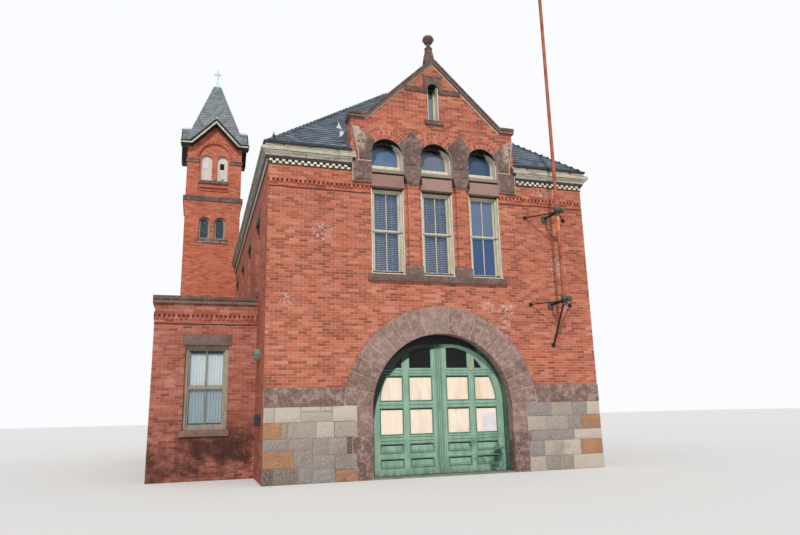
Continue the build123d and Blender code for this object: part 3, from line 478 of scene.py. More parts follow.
palettes = {
    "front": ((120, 66, 52), (152, 84, 64), (176, 98, 75), (190, 112, 86), (206, 140, 118)),
    "side": ((118, 60, 48), (148, 80, 62), (164, 90, 70), (176, 102, 82), (188, 120, 102)),
    "wing": ((116, 62, 52), (148, 80, 66), (166, 92, 76), (176, 106, 90), (190, 130, 116)),
    "tower": ((140, 72, 54), (178, 94, 70), (194, 106, 79), (202, 116, 90), (214, 136, 112)),
    "brownstone": ((76, 57, 54), (106, 82, 76), (140, 113, 104), (168, 142, 132)),
    "darkStone": ((72, 55, 52), (96, 76, 72), (116, 94, 88), (138, 114, 106)),
    "granite": ((70, 56, 50), (112, 96, 88), (134, 128, 124), (146, 132, 121), (178, 166, 154), (200, 190, 178),
                (190, 180, 168)),
    "mainSlate": ((58, 67, 77), (78, 89, 101), (92, 104, 118), (110, 122, 136)),
    "towerSlate": ((86, 98, 103), (106, 119, 124), (122, 133, 137), (132, 132, 132), (146, 156, 160)),
}
# spots where mortar ran over the front's bricks: x, z and reach
mortarSpills = ((1.75, 3.84, 0.3), (1.66, 3.52, 0.22), (-3.69, 3.98, 0.22), (3.3, 5.05, 0.35),
                (1.25, 3.92, 0.25), (3.1, 7.0, 0.5), (-2.9, 5.6, 0.35))
finishes = {
    "frontBrick": brickFinish(palettes["front"], ((196, 158, 138), (216, 184, 166)), washed=0.2, spills=mortarSpills),
    "looseBrick": brickFinish(palettes["front"], washed=0.2),
    "sideBrick": brickFinish(palettes["side"], ((156, 118, 102), (186, 152, 136)), 0.4, 1.6),
    "wingBrick": brickFinish(palettes["wing"], ((156, 126, 112), (196, 174, 160)), 0.92, 2.0, 0.4),
    "wingLoose": brickFinish(palettes["wing"], washed=0.4),
    "towerBrick": brickFinish(palettes["tower"], ((180, 128, 108), (198, 150, 132)), washed=0.12),
    "towerLoose": brickFinish(palettes["tower"], washed=0.1),
    "brownstone": stoneFinish(palettes["brownstone"], stained=0.6, own=0.62, mottle=(176, 152, 140)),
    "darkStone": stoneFinish(palettes["darkStone"], stained=0.45, own=0.55, mottle=(152, 127, 116), limed=True),
    "rosyStone": stoneFinish(((134, 103, 94), (148, 117, 107), (162, 132, 121)), 40.0, 0.006, (108, 82, 74)),
    "greyStone": stoneFinish(((112, 98, 86), (134, 118, 104), (152, 138, 124)), 30.0, 0.006),
    "sillStone": stoneFinish(((78, 61, 56), (102, 82, 74), (126, 103, 93)), 30.0, 0.01, mottle=(136, 112, 100)),
    "granite": stoneFinish(palettes["granite"], 34.0, 0.02, (84, 64, 54), 0.3, own=0.92, ochre=True),
    "paleMortar": plainFinish((206, 156, 130), (186, 128, 104), 7.0, 0.95),
    "redMortar": plainFinish((132, 98, 86), (170, 144, 130), 5.0, 0.95, 0.008),
    # painted shade for the strips between the brick teeth and under the bands' ledges
    "paintedBandShade": plainFinish((66, 40, 35), (98, 58, 48), 9.0),
    # near black: painted shade on the pieces in the round heads, beside the capitals, under the ledges and
    # bargeboards, in the belfry holes and under the door mouldings
    "soot": plainFinish((22, 19, 19), (38, 31, 29), 12.0),
    "mortar": plainFinish((170, 148, 136), (198, 180, 168), 11.0),
    "corniceCream": corniceFinish(),
    "sashCream": sashFinish(),
    "palePaint": paintFinish((222, 216, 198), (192, 184, 164), (128, 112, 96), 0.3),
    "bargePaint": paintFinish((206, 200, 184), (150, 138, 120), (104, 88, 76), 0.6),
    # darker green as painted shade on the doors' mouldings, rail ledges and the strips beside the beads
    "greenMouldShade": paintFinish((84, 126, 104), (60, 98, 80), (44, 70, 58), 0.2, 0.45),
    "wingFrame": paintFinish((158, 148, 130), (128, 116, 100), (92, 78, 66), 0.5),
    "doorGreen": doorFinish(),
    "doorFrame": frameFinish(),
    "plywood": boardFinish((240, 226, 210), (224, 202, 172), True),
    "paleBoard": boardFinish((220, 214, 202), (180, 172, 160)),
    "mainSlate": slateFinish(palettes["mainSlate"]),
    "towerSlate": slateFinish(palettes["towerSlate"], 0.25),
    "copper": metalFinish((190, 220, 220), (140, 184, 178), 0.05, 0.6, 0.7, 9.0),
    "iron": metalFinish((34, 32, 33), (84, 58, 46), 0.4),
    "castIron": metalFinish((88, 88, 82), (50, 42, 38), 0.2, 0.65, 0.6, 11.0),
    "mastPaint": mastFinish(),
    "brass": metalFinish((196, 172, 116), (150, 122, 78), 0.5, 0.45, 0.6),
    "boxGreen": metalFinish((92, 122, 104), (60, 84, 72), 0.1, 0.5, 0.6),
    "curtainCloth": clothFinish(),
    "paper": plainFinish((226, 222, 226), (206, 200, 206), 4.0, 0.7, 0.001),
    "lead": metalFinish((44, 46, 50), (70, 70, 72), 0.2, scale=6.0),
    "whiteLead": metalFinish((206, 208, 214), (176, 178, 184), 0.1, patch=0.6, scale=9.0),
    "roofing": plainFinish((74, 74, 76), (98, 96, 94), 3.0),
    "floor": plainFinish((138, 134, 128), (112, 106, 100), 2.0),
    "sashGlass": frontGlassFinish(),
    # blue tint as a painted reflection of the sky over the curtains
    "wallGlass": glassFinish((104, 136, 156), (124, 150, 164), 0.16),
    # near black: painted shade for the dark room behind the door's panes
    "doorGlass": plainFinish((4, 5, 8), (9, 10, 14), 3.0, 0.4, 0.001),
    "whiteTrim": plainFinish((222, 220, 212), (196, 194, 186), 5.0, 0.6),
}
for label, material in finishes.items():
    material.name = label

nodeFinishes = {
    "floor": "floors", "mortar": "door_arch belt_course spandrel_stones", "redMortar": "base_stones",
    "doorFrame": "door_frame", "doorGreen": "left_door_leaf right_door_leaf",
    "plywood": "left_door_boards right_door_boards", "doorGlass": "left_door_glass right_door_glass",
    "iron": "left_door_hinges right_door_hinges frame_hinges mast_brackets", "mastPaint": "mast",
    "frontBrick": "front_wall_left front_wall_right front_wall_upper gable_wall",
    "sillStone": "gable_stones stone_copings gable_finial wall_window_stones",
    "sashCream": "front_window_frames", "sashGlass": "front_window_glass", "rosyStone": "front_window_stones",
    "sideBrick": "left_wall right_wall rear_wall", "corniceCream": "cornices", "mainSlate": "main_roof gable_roof",
    "wingBrick": "annex_walls", "roofing": "annex_roof", "wingFrame": "wall_window_frames",
    "wallGlass": "wall_window_glass", "towerBrick": "tower_shaft tower_belfry", "darkStone": "tower_stones",
    "paleBoard": "tower_boards", "towerSlate": "tower_roof tower_spire", "copper": "tower_finial",
}
for label, nodeNames in nodeFinishes.items():
    for nodeName in nodeNames.split():
        mesh = cadNodes[nodeName].data
        mesh.materials.clear()
        mesh.materials.append(finishes[label])
print(len(finishes), "finishes made and laid on", sum(len(names.split()) for names in nodeFinishes.values()), "nodes")


# Repeated units: a node tree lays one on each point, with its own size, turn and tone
def makeLayingTree():
    tree = bpy.data.node_groups.new("laidUnits", "GeometryNodeTree")
    for label, way, kind in (("Places", "INPUT", "Geometry"), ("Finish", "INPUT", "Material"),
                             ("Laid", "OUTPUT", "Geometry")):
        tree.interface.new_socket(label, in_out=way, socket_type="NodeSocket" + kind)
    wiring = Wiring(tree)
    given = wiring.node("NodeGroupInput").socket.node.outputs
    size, turn = (wiring.node("GeometryNodeInputNamedAttribute", {"data_type": "FLOAT_VECTOR"}, {"Name": label})
                  for label in ("size", "turn"))
    laid = wiring.node("GeometryNodeInstanceOnPoints", sockets={
        "Points": Wire(wiring, given["Places"]), "Instance": wiring.node("GeometryNodeMeshCube"),
        "Rotation": wiring.node("FunctionNodeEulerToRotation", sockets={"Euler": turn}), "Scale": size})
    laid = wiring.node("GeometryNodeRealizeInstances", sockets={"Geometry": laid})
    for label in ("size", "turn"):
        laid = wiring.node("GeometryNodeRemoveAttribute", sockets={"Geometry": laid, "Name": label})
    laid = wiring.node("GeometryNodeSetMaterial", sockets={
        "Geometry": laid, "Material": Wire(wiring, given["Finish"])})
    wiring.plug(tree.nodes.new("NodeGroupOutput").inputs["Laid"], laid)
    return tree


layingTree = makeLayingTree()
finishInput = next(socket.identifier for socket in layingTree.interface.items_tree if socket.name == "Finish")


def settle(piece):
    # the modifiers' result as a plain mesh
    evaluated = piece.evaluated_get(bpy.context.evaluated_depsgraph_get())
    mesh = bpy.data.meshes.new_from_object(evaluated)
    piece.modifiers.clear()
    old, piece.data = piece.data, mesh
    bpy.data.meshes.remove(old)
    mesh.name = piece.name


def enrol(piece, body="building"):
    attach(piece, body)
    print(piece.name, len(piece.data.polygons), "faces")


def layUnits(name, units, finish):
    # units are (place, size, turn, tone)
    mesh = bpy.data.meshes.new(name)
    mesh.from_pydata([unit[0] for unit in units], [], [])
    for column, (label, kind, part) in enumerate((
            ("size", "FLOAT_VECTOR", "vector"), ("turn", "FLOAT_VECTOR", "vector"), ("tone", "FLOAT", "value")), 1):
        values = np.array([unit[column] for unit in units], np.float32)
        mesh.attributes.new(label, kind, "POINT").data.foreach_set(part, values.ravel())
    piece = link(name, mesh)
    modifier = piece.modifiers.new("laid", "NODES")
    modifier.node_group = layingTree
    modifier[finishInput] = finishes[finish]
    settle(piece)
    enrol(piece)


def wallUnit(axis, along, across, z, sizes, tone=0.5):
    # a unit on a wall that runs along axis; sizes are along the wall, through it and up
    place, size = (along, across), sizes[:2]
    if axis == "y":
        place, size = place[::-1], size[::-1]
    return ((*place, z), (*size, sizes[2]), (0, 0, 0), tone)


def corners(x0, x1, z0, z1):
    return [(x0, z0), (x1, z0), (x1, z1), (x0, z1)]


def mirrored(side, near, far):
    # the ends of a span that lies from near to far on one side of the middle
    return sorted((side * near, side * far))


def around(middle, half):
    return middle - half, middle + half


# Bricks on every outside wall; cut ones smaller than these are left out
smallest = {"length": 0.03, "part": 0.025, "run": 0.015, "height": 0.014, "wall": 0.05}


def cutRuns(runs, start, end):
    kept = []
    for left, right in runs:
        if start > left:
            kept.append((left, min(right, start)))
        if end < right:
            kept.append((max(left, end), right))
    return [(left, right) for left, right in kept if right - left > smallest["run"]]


def brickParts(left, right, low, high, boxes):
    # what the boxes leave of one brick
    near = [box for box in boxes if box[0] < right - 0.001 and box[1] > left + 0.001]
    if not near:
        return [(left, right, low, high)]
    cuts = sorted({left, right, *[min(max(edge, left), right) for box in near for edge in box[:2]]})
    parts = []
    for start, end in zip(cuts, cuts[1:]):
        middle = (start + end) / 2
        ranges = [(low, high)]
        for box in near:
            if box[0] < middle < box[1]:
                ranges = cutRuns(ranges, box[2], box[3])
        for base, top in ranges:
            if parts and parts[-1][1] == start and parts[-1][2:] == (base, top):
                parts[-1] = (parts[-1][0], end, base, top)
            else:
                parts.append((start, end, base, top))
    return [part for part in parts if part[1] - part[0] > smallest["part"] and part[3] - part[2] > smallest["height"]]


def brickCells(low, high, span, holes):
    # free cells (u0, u1, z0, z1) of one course inside span, round the holes
    length = brickwork["length"]
    shift = 0.5 * (round(low / brickwork["course"] - 0.3) % 2)
    runs = [span]
    for _, centre, height, radius in (hole for hole in holes if hole[0] == "disc"):
        off = max(low - height, height - high, 0.0)
        if off < radius:
            half = math.sqrt(radius * radius - off * off)
            runs = cutRuns(runs, centre - half, centre + half)
    boxes = [hole[1:] for hole in holes if hole[0] == "box" and hole[3] < high - 0.004 and hole[4] > low + 0.004]
    cells = []
    for left, right in runs:
        count = math.floor(left / length + shift)
        edge = left
        while edge < right - 0.02:
            count += 1
            after = min(right, (count - shift) * length)
            if right - after < smallest["length"]:
                after = right
            if after - edge > smallest["length"]:
                cells += brickParts(edge, after, low, high, boxes)
                edge = after
    return cells


def wallBricks(axis, plane, out, span, levels, holes=(), outline=None, proudEnds=()):
    # units for one face; axis is the one along the wall, and out is the sign of its outward normal;
    # bricks at the proud ends of the span, 0 its left and 1 its right, reach round the corner
    units = []
    step, gap, proud = brickwork["course"], brickwork["joint"] / 2, brickwork["proud"]
    depth = proud + brickwork["bed"]
    across = plane + out * (proud - depth / 2)
    course = math.floor(levels[0] / step + 0.001)
    while course * step < levels[1] - 0.01:
        low, high = max(levels[0], course * step), min(levels[1], (course + 1) * step)
        course += 1
        ends = outline(low, high) if outline else span
        if high - low < smallest["height"] or ends[1] - ends[0] < smallest["wall"]:
            continue
        for left, right, base, top in brickCells(low, high, ends, holes):
            a = left - proud if 0 in proudEnds and left == span[0] else left + gap
            b = right + proud if 1 in proudEnds and right == span[1] else right - gap
            c, d = base + gap, top - gap
            units.append(wallUnit(axis, (a + b) / 2, across, (c + d) / 2, (b - a, depth, d - c)))
    return units


windowCentres, pilasters = (-1.285, 0.0, 1.285), (-0.6425, 0.6425)
rearWindows, sideWindows = (-2.4, 0, 2.4), [2.3 + 2.75 * n for n in range(5)]
mainHalf, mainBack, wallTop = 4.16, 16.0, 7.18
windowGroup = {"sillFoot": 4.48, "sill": 4.64, "plinthTop": 4.87, "capitalFoot": 6.92, "spring": 7.69,
               "shoulder": 7.983, "apex": 8.33, "radius": 0.415, "ring": 0.75, "pilaster": 0.137,
               "capital": 0.2275, "face": -0.09, "end": 1.8, "bandTop": 6.893}
archStones = {"count": 19, "inner": 1.737, "outer": 2.394, "hole": 2.392, "spring": 1.51, "face": -0.03,
              "rise": 0.024, "edge": 0.004, "depth": 0.26, "gap": 0.007, "start": 0.045, "reveal": 1.729,
              "jambHeights": (0.0, 0.57, 0.93, 1.605), "jambEdges": (2.12, 2.19, 2.12),
              "jambTones": (0.15, 0.15, 0.6)}
gable = {"half": 2.2, "slopeHalf": 1.835, "slopeFoot": 8.60, "slopeTop": 10.37, "slit": (9.515, 9.70)}
plainWindows = {"upper": (0.45, 4.48, 6.38), "wing": (0.505, 1.145, 3.132), "bearing": 0.06,
                "sill": 0.15, "lintel": 0.255}
wing = {"left": -6.56, "front": 1.92, "back": 12.0, "top": 4.13, "band": (3.63, 3.93), "window": -5.325,
        "sideWindows": (4.3, 7.0, 9.7), "tooth": 0.12}
tower = {"centre": Vector((-5.185, 13.085, 0)), "half": 1.085, "shaftTop": 9.47, "lights": (-5.49, -4.88),
         "belfry": (10.28, 12.465), "arch": (12.03, 0.7), "peak": 13.42, "pitch": 1.056}


def openingStones(centre, kind):
    # the window's opening, its sill and its lintel, each as (left, right, low, high)
    half, sill, head = plainWindows[kind]
    wide = half + plainWindows["bearing"]
    return [(*around(centre, half), sill, head),
            (*around(centre, wide), sill - plainWindows["sill"], sill),
            (*around(centre, wide), head, head + plainWindows["lintel"])]


def openingHoles(centres, kind):
    return [("box", *part) for centre in centres for part in openingStones(centre, kind)]


def frontBricks():
    group = windowGroup
    holes = [("disc", 0, archStones["spring"], archStones["hole"]),
             ("box", -group["end"], group["end"], group["sillFoot"], group["sill"])]
    for x in windowCentres:
        holes += [("box", *around(x, group["radius"]), group["sill"], 7.2),
                  ("disc", x, group["spring"], group["ring"])]
    for x in pilasters:
        for half, low, high in ((group["capital"], group["capitalFoot"], 7.9),
                                (group["pilaster"], group["sill"], group["capitalFoot"]),
                                (group["capital"], group["sill"], group["plinthTop"]),
                                (group["capital"], 7.4, 8.2)):
            holes.append(("box", *around(x, half), low, high))
    for side in (-1, 1):
        holes += [("box", *mirrored(side, 1.7, 2.18), group["capitalFoot"], 8.335),
                  ("box", *mirrored(side, 1.7, 4.17), 6.655, group["bandTop"])]
    span = (-mainHalf, mainHalf)
    units = wallBricks("x", 0.0, -1, span, (2.02, wallTop), holes, proudEnds=(0, 1))
    for x in pilasters:
        units += wallBricks("x", -0.06, -1, around(x, group["pilaster"]), (group["plinthTop"], group["capitalFoot"]))
    holes += [("box", *around(0.0, half), low, high)
              for half, low, high in ((0.25, 9.51, 9.99), (0.15, 8.7, 9.6), (0.25, 8.625, 8.735))]

    def gableEnds(low, high):
        half = gable["half"]
        if high >= gable["slopeFoot"]:
            rise = gable["slopeTop"] - gable["slopeFoot"]
            half = min(half, gable["slopeHalf"] * (gable["slopeTop"] - high) / rise)
        if gable["slit"][0] < high < gable["slit"][1]:
            half = 0.0
        return (-half, half)

    return units + wallBricks("x", 0.0, -1, (-gable["half"], gable["half"]), (wallTop, 10.3), holes, gableEnds)


def windowsOn(side):
    # the tower covers the last one on the left
    return sideWindows[:5 if side > 0 else 4]


def sideBricks(side):
    holes = openingHoles(windowsOn(side), "upper")
    if side < 0:
        holes += [("box", wing["front"], wing["back"], -1, 4.32), ("box", wing["back"], 14.17, -1, 8)]
    return wallBricks("y", side * mainHalf, side, (0.0, mainBack), (0.0, wallTop), holes)


def rearBricks():
    return wallBricks("x", mainBack, 1, (-mainHalf, mainHalf), (0.0, wallTop), openingHoles(rearWindows, "upper"),
                      proudEnds=(0, 1))


def wingBricks():
    left, front, levels = wing["left"], wing["front"], (0.0, wing["top"])
    holes = openingHoles([wing["window"]], "wing") + [("box", left - 0.04, -mainHalf, *wing["band"])]
    units = wallBricks("x", front, -1, (left, -mainHalf), levels, holes, proudEnds=(0,))
    holes = [("box", front, wing["back"], *wing["band"])] + openingHoles(wing["sideWindows"], "wing")
    return units + wallBricks("y", left, -1, (front, wing["back"]), levels, holes)


def towerBricks():
    centre, half, top = tower["centre"], tower["half"], tower["shaftTop"]
    (x0, x1), (y0, y1) = around(centre.x, half), around(centre.y, half)
    holes = [("box", *around(centre.x, 0.625), 8.34, 8.49)]
    for x in tower["lights"]:
        holes += [("box", *around(x, 0.22), 8.49, 9.22), ("disc", x, 9.22, 0.24)]
    units = wallBricks("x", y0, -1, (x0, x1), (3.95, top), holes, proudEnds=(0, 1))
    units += wallBricks("y", x0, -1, (y0, y1), (0.0, top))
    units += wallBricks("x", y1, 1, (x0, x1), (0.0, top), [("box", -mainHalf, -4.0, 0, 7.7)], proudEnds=(0, 1))
    units += wallBricks("y", x1, 1, (y0, y1), (7.9, top))
    spring, radius = tower["arch"]
    for axis, near, far, span in (("x", y0, y1, (x0, x1)), ("y", x0, x1, (y0, y1))):
        middle = sum(span) / 2
        holes = [("box", *around(middle, 0.615), 10.2, spring), ("disc", middle, spring, radius)]
        holes += [("box", *around(middle + side * 0.9, 0.3), 11.76, 11.93) for side in (-1, 1)]

        def rake(low, high):
            reach = max(0.0, (tower["peak"] - high) / tower["pitch"] - 0.02)
            return (middle - reach, middle + reach)

        for plane, out in ((near, -1), (far, 1)):
            proudEnds = (0, 1) if axis == "x" else ()
            units += wallBricks(axis, plane, out, span, tower["belfry"], holes, proudEnds=proudEnds)
            units += wallBricks(axis, plane, out, span, (tower["belfry"][1], 13.35), holes[1:2], rake)
    return units


for name, units, finish in (("frontBricks", frontBricks(), "frontBrick"), ("leftBricks", sideBricks(-1), "sideBrick"),
                            ("rightBricks", sideBricks(1), "sideBrick"), ("rearBricks", rearBricks(), "sideBrick"),
                            ("wingBricks", wingBricks(), "wingBrick"), ("towerBricks", towerBricks(), "towerBrick")):
    layUnits(name, units, finish)


# Slates: units laid on a slope, row by row
slating = {"width": 0.21, "gauge": 0.155, "thickness": 0.009, "lap": 1.45, "gap": 0.004, "narrowest": 0.04}
roof = {"edge": 4.285, "front": -0.125, "back": 16.125, "base": 7.65, "pitch": 0.93, "top": 11.635}
gableRoof = {"low": 8.16, "top": 10.48, "pitch": 0.9646, "front": 0.43}
spire = {"low": 1.225, "high": 0.12, "base": 12.5, "top": 15.79, "ridge": 13.68, "edge": 1.345,
         "width": 0.17, "gauge": 0.14}


def slopeUnits(foot, along, up, rows, reach, seed, width=slating["width"], gauge=slating["gauge"]):
    # foot is a point on the eave line; reach(distance up) gives the run's ends, measured from foot along the eave
    chance = random.Random(seed)
    along, up = Vector(along).normalized(), Vector(up).normalized()
    out = along.cross(up)
    length, thick = gauge * slating["lap"], slating["thickness"]
    lean = math.asin(min(0.2, 1.7 * thick / length))
    slope = (up * math.cos(lean) - out * math.sin(lean)).normalized()
    turn = Matrix((along, slope, along.cross(slope))).transposed().to_euler()
    units = []
    for row in range(rows):
        distance = row * gauge
        start, end = reach(distance + gauge * 0.5)
        shift = 0.5 * (row % 2)
        count = math.floor(start / width + shift)
        while (count - shift) * width < end:
            left, right = max(start, (count - shift) * width), min(end, (count + 1 - shift) * width)
            count += 1
            if right - left >= slating["narrowest"]:
                middle = foot + along * ((left + right) / 2) + up * (distance + length / 2) + out * thick * 1.5
                units.append((middle, (right - left - slating["gap"], length, thick), turn, chance.random()))
    return units


def roofSlates():
    edge, front, back, base, pitch = pick(roof, "edge front back base pitch")
    slant = math.hypot(1, pitch)
    units = []
    for n, (x, y, along, up, run) in enumerate((
            (-edge, front, (1, 0, 0), (0, 1, pitch), 2 * edge), (edge, back, (-1, 0, 0), (0, -1, pitch), 2 * edge),
            (edge, front, (0, 1, 0), (-1, 0, pitch), back - front),
            (-edge, back, (0, -1, 0), (1, 0, pitch), back - front))):
        def reach(distance):
            return (distance / slant, run - distance / slant)
        found = slopeUnits(Vector((x, y, base)), along, up, int(edge * slant / slating["gauge"]), reach, 11 + n)
        for unit in found:
            x, y, _ = unit[0]
            underGable = n == 0 and abs(x) < 2.3 and y < 0.6
            inTower = x < -4.0 and 11.95 < y < 14.25
            if not underGable and not inTower:
                units.append(unit)
    return units


def gableSlates():
    low, top, pitch = pick(gableRoof, "low top pitch")
    slant = math.hypot(1, pitch)
    rows = int((top - low) / pitch * slant / slating["gauge"])
    units = []
    for side in (-1, 1):
        def reach(distance):
            height = low + distance * pitch / slant
            ends = (gableRoof["front"], (height - roof["base"]) / roof["pitch"] + roof["front"])
            return ends if side > 0 else (-ends[1], -ends[0])
        foot = Vector((side * (top - low) / pitch, 0, low))
        units += slopeUnits(foot, (0, side, 0), (-side, 0, pitch), rows, reach, 31 + side)
    return units


def quarterTurns():
    # the tower's four sides, as turns of its front
    return [Matrix.Rotation(n * math.pi / 2, 3, "Z") for n in range(4)]


def spireSlates():
    units = []
    low, high, base, ridge, edge = pick(spire, "low high base ridge edge")
    rise, pitch, size = spire["top"] - base, tower["pitch"], (spire["width"], spire["gauge"])
    slant, gableSlant, shoulder = math.hypot(low - high, rise), math.hypot(1, pitch), 1.0
    for n, spin in enumerate(quarterTurns()):
        def reach(distance):
            cut = distance / slant * (low - high)
            return (cut, 2 * low - cut)
        foot = tower["centre"] + spin @ Vector((-low, -low, 0)) + Vector((0, 0, base))
        found = slopeUnits(foot, spin @ Vector((1, 0, 0)), spin @ Vector((0, low - high, rise)),
                           int(slant / spire["gauge"]), reach, 41 + n, *size)
        for unit in found:
            off = unit[0] - tower["centre"]
            if off.z + 0.02 > ridge - pitch * min(abs(off.x), abs(off.y)):
                units.append(unit)
    for n, spin in enumerate(quarterTurns()):
        for side in (-1, 1):
            def reach(distance):
                out = shoulder - distance / gableSlant
                return (-edge, -out) if side > 0 else (out, edge)
            foot = tower["centre"] + spin @ Vector((side * shoulder, 0, ridge - shoulder * pitch))
            units += slopeUnits(foot, spin @ Vector((0, side, 0)), spin @ Vector((-side, 0, pitch)), 10, reach,
                                51 + n, *size)
    return units


layUnits("roofSlates", roofSlates(), "mainSlate")
layUnits("gableSlates", gableSlates(), "mainSlate")
layUnits("spireSlates", spireSlates(), "towerSlate")


# Cut stone and joinery: closed shells gathered into one mesh
class Yard:
    def __init__(self, seed=1):
        self.chance = random.Random(seed)
        self.points, self.faces, self.tones = [], [], []

    def add(self, points, faces, tone=None):
        start = len(self.points)
        self.points += [tuple(point) for point in points]
        self.faces += [tuple(start + n for n in face) for face in faces]
        self.tones += [self.chance.random() if tone is None else tone] * len(points)

    def block(self, place, cells=(5, 5), rise=0.03, edge=0.004, depth=0.05, tone=None, rough=1.0):
        # place(u, v, out) maps the unit square and the height over the finished face into the building
        across, high = cells
        salt = Vector([self.chance.uniform(0, 50) for _ in range(3)])
        points, faces = [], []
        for j in range(high + 1):
            for i in range(across + 1):
                u, v = i / across, j / high
                spot = Vector(place(u, v, 0))
                lump = noise.noise(spot * 7.0 + salt) + 0.6 * noise.noise(spot * 19.0 + salt)
                rim = i in (0, across) or j in (0, high)
                points.append(place(u, v, edge if rim else edge + rise * (0.75 + rough * 0.45 * lump)))
        rim = [(i, 0) for i in range(across)] + [(across, j) for j in range(high)]
        rim += [(i, high) for i in range(across, 0, -1)] + [(0, j) for j in range(high, 0, -1)]
        front = [j * (across + 1) + i for i, j in rim]
        back = len(points)
        points += [place(i / across, j / high, -depth) for i, j in rim]
        faces += gridFaces(across, high)
        for n in range(len(rim)):
            m = (n + 1) % len(rim)
            faces.append((front[n], back + n, back + m, front[m]))
        faces.append(tuple(back + n for n in reversed(range(len(rim)))))
        self.add(points, faces, tone)

    def sweep(self, rings, looped=False, tone=None):
        # rings of equal length joined in turn; the ends are closed unless the sweep is looped
        size = len(rings[0])
        faces = []
        for n in range(len(rings) if looped else len(rings) - 1):
            m = (n + 1) % len(rings)
            for i in range(size):
                j = (i + 1) % size
                faces.append((n * size + i, n * size + j, m * size + j, m * size + i))
        if not looped:
            faces.append(tuple(range(size)))
            faces.append(tuple((len(rings) - 1) * size + n for n in reversed(range(size))))
        self.add([point for ring in rings for point in ring], faces, tone)

    def slab(self, outline, near, far, axis="y", tone=None):
        # an outline of (x, z), or of (y, z) for axis x, or of (x, y) for axis z, between two planes
        spread = {"x": lambda a, b, c: (c, a, b), "y": lambda a, b, c: (a, c, b), "z": lambda a, b, c: (a, b, c)}
        self.sweep([[spread[axis](a, b, c) for a, b in outline] for c in (near, far)], tone=tone)

    def bar(self, x0, x1, y0, y1, z0, z1):
        self.slab(corners(x0, x1, z0, z1), y0, y1)

    def lathe(self, centre, profile, steps):
        # profile of (radius, height) about an upright line
        turns = [2 * math.pi * n / steps for n in range(steps)]
        self.sweep([[(centre[0] + r * math.cos(t), centre[1] + r * math.sin(t), centre[2] + h) for t in turns]
                    for r, h in profile])

    def build(self, name, finish, slotName, body="building", bevel=0.0):
        mesh = bpy.data.meshes.new(name)
        mesh.from_pydata(self.points, [], self.faces)
        mesh.attributes.new("tone", "FLOAT", "POINT").data.foreach_set("value", np.array(self.tones, np.float32))
        shell = bmesh.new()
        shell.from_mesh(mesh)
        bmesh.ops.recalc_face_normals(shell, faces=shell.faces)
        shell.to_mesh(mesh)
        shell.free()
        mesh.materials.append(finishes[finish])
        piece = link(name, mesh)
        if bevel:
            edges = piece.modifiers.new("edges", "BEVEL")
            edges.width, edges.segments, edges.limit_method = bevel, 1, "ANGLE"
            settle(piece)
        enrol(piece, body)


def gridFaces(across, high):
    return [(n, n + 1, n + across + 2, n + across + 1)
            for j in range(high) for n in range(j * (across + 1), j * (across + 1) + across)]


def wallPlace(axis, side, start, end, z0, z1, plane, gap=0.004):
    # on a wall that runs along axis and looks to that side; u runs to the right, seen from outside
    def place(u, v, out):
        share = u if (axis == "x") == (side < 0) else 1 - u
        spot = (start + gap + (end - start - 2 * gap) * share, plane + side * out)
        return (*(spot if axis == "x" else spot[::-1]), z0 + gap + (z1 - z0 - 2 * gap) * v)
    return place


def flatPlace(x0, x1, z0, z1, y, gap=0.004):
    return wallPlace("x", -1, x0, x1, z0, z1, y, gap)


def shapedPlace(low, high, ends, face):
    # on the front, between two heights: ends(z, v) gives its left and right end, and face(u, v) its bare face's y
    def place(u, v, out):
        z = low + (high - low) * v
        left, right = ends(z, v)
        return (left + (right - left) * u, face(u, v) - out, z)
    return place


def archPlace(angle0, angle1, r0, r1, y, centre, gap=0.005):
    # on a ring about centre (x, z), seen from the front; angles from +X, in radians
    def place(u, v, out):
        radius = r0 + (r1 - r0) * v
        turn = gap / max(radius, 0.1)
        angle = angle0 - turn + (angle1 - angle0 + 2 * turn) * u
        return (centre[0] + radius * math.cos(angle), y - out, centre[1] + radius * math.sin(angle))
    return place


def buildArch():
    yard = Yard(3)
    count, start, face = archStones["count"], archStones["start"], archStones["face"]
    rise, edge, depth = pick(archStones, "rise edge depth")
    cuts = [start + (math.pi - 2 * start) * n / count for n in range(count + 1)]
    for first, last in zip(cuts, cuts[1:]):
        place = archPlace(last, first, archStones["inner"], archStones["outer"], face, (0, archStones["spring"]),
                          archStones["gap"])
        yard.block(place, (5, 9), rise, edge, depth, 0.3 + 0.62 * yard.chance.random())
    heights = archStones["jambHeights"]
    for side in (-1, 1):
        for low, high, end, tone in zip(heights, heights[1:], archStones["jambEdges"], archStones["jambTones"]):
            place = flatPlace(*mirrored(side, archStones["reveal"], end), low, high, face)
            yard.block(place, (6, 7), rise, edge, depth, tone)
    yard.build("archStones", "brownstone", "brownstone")


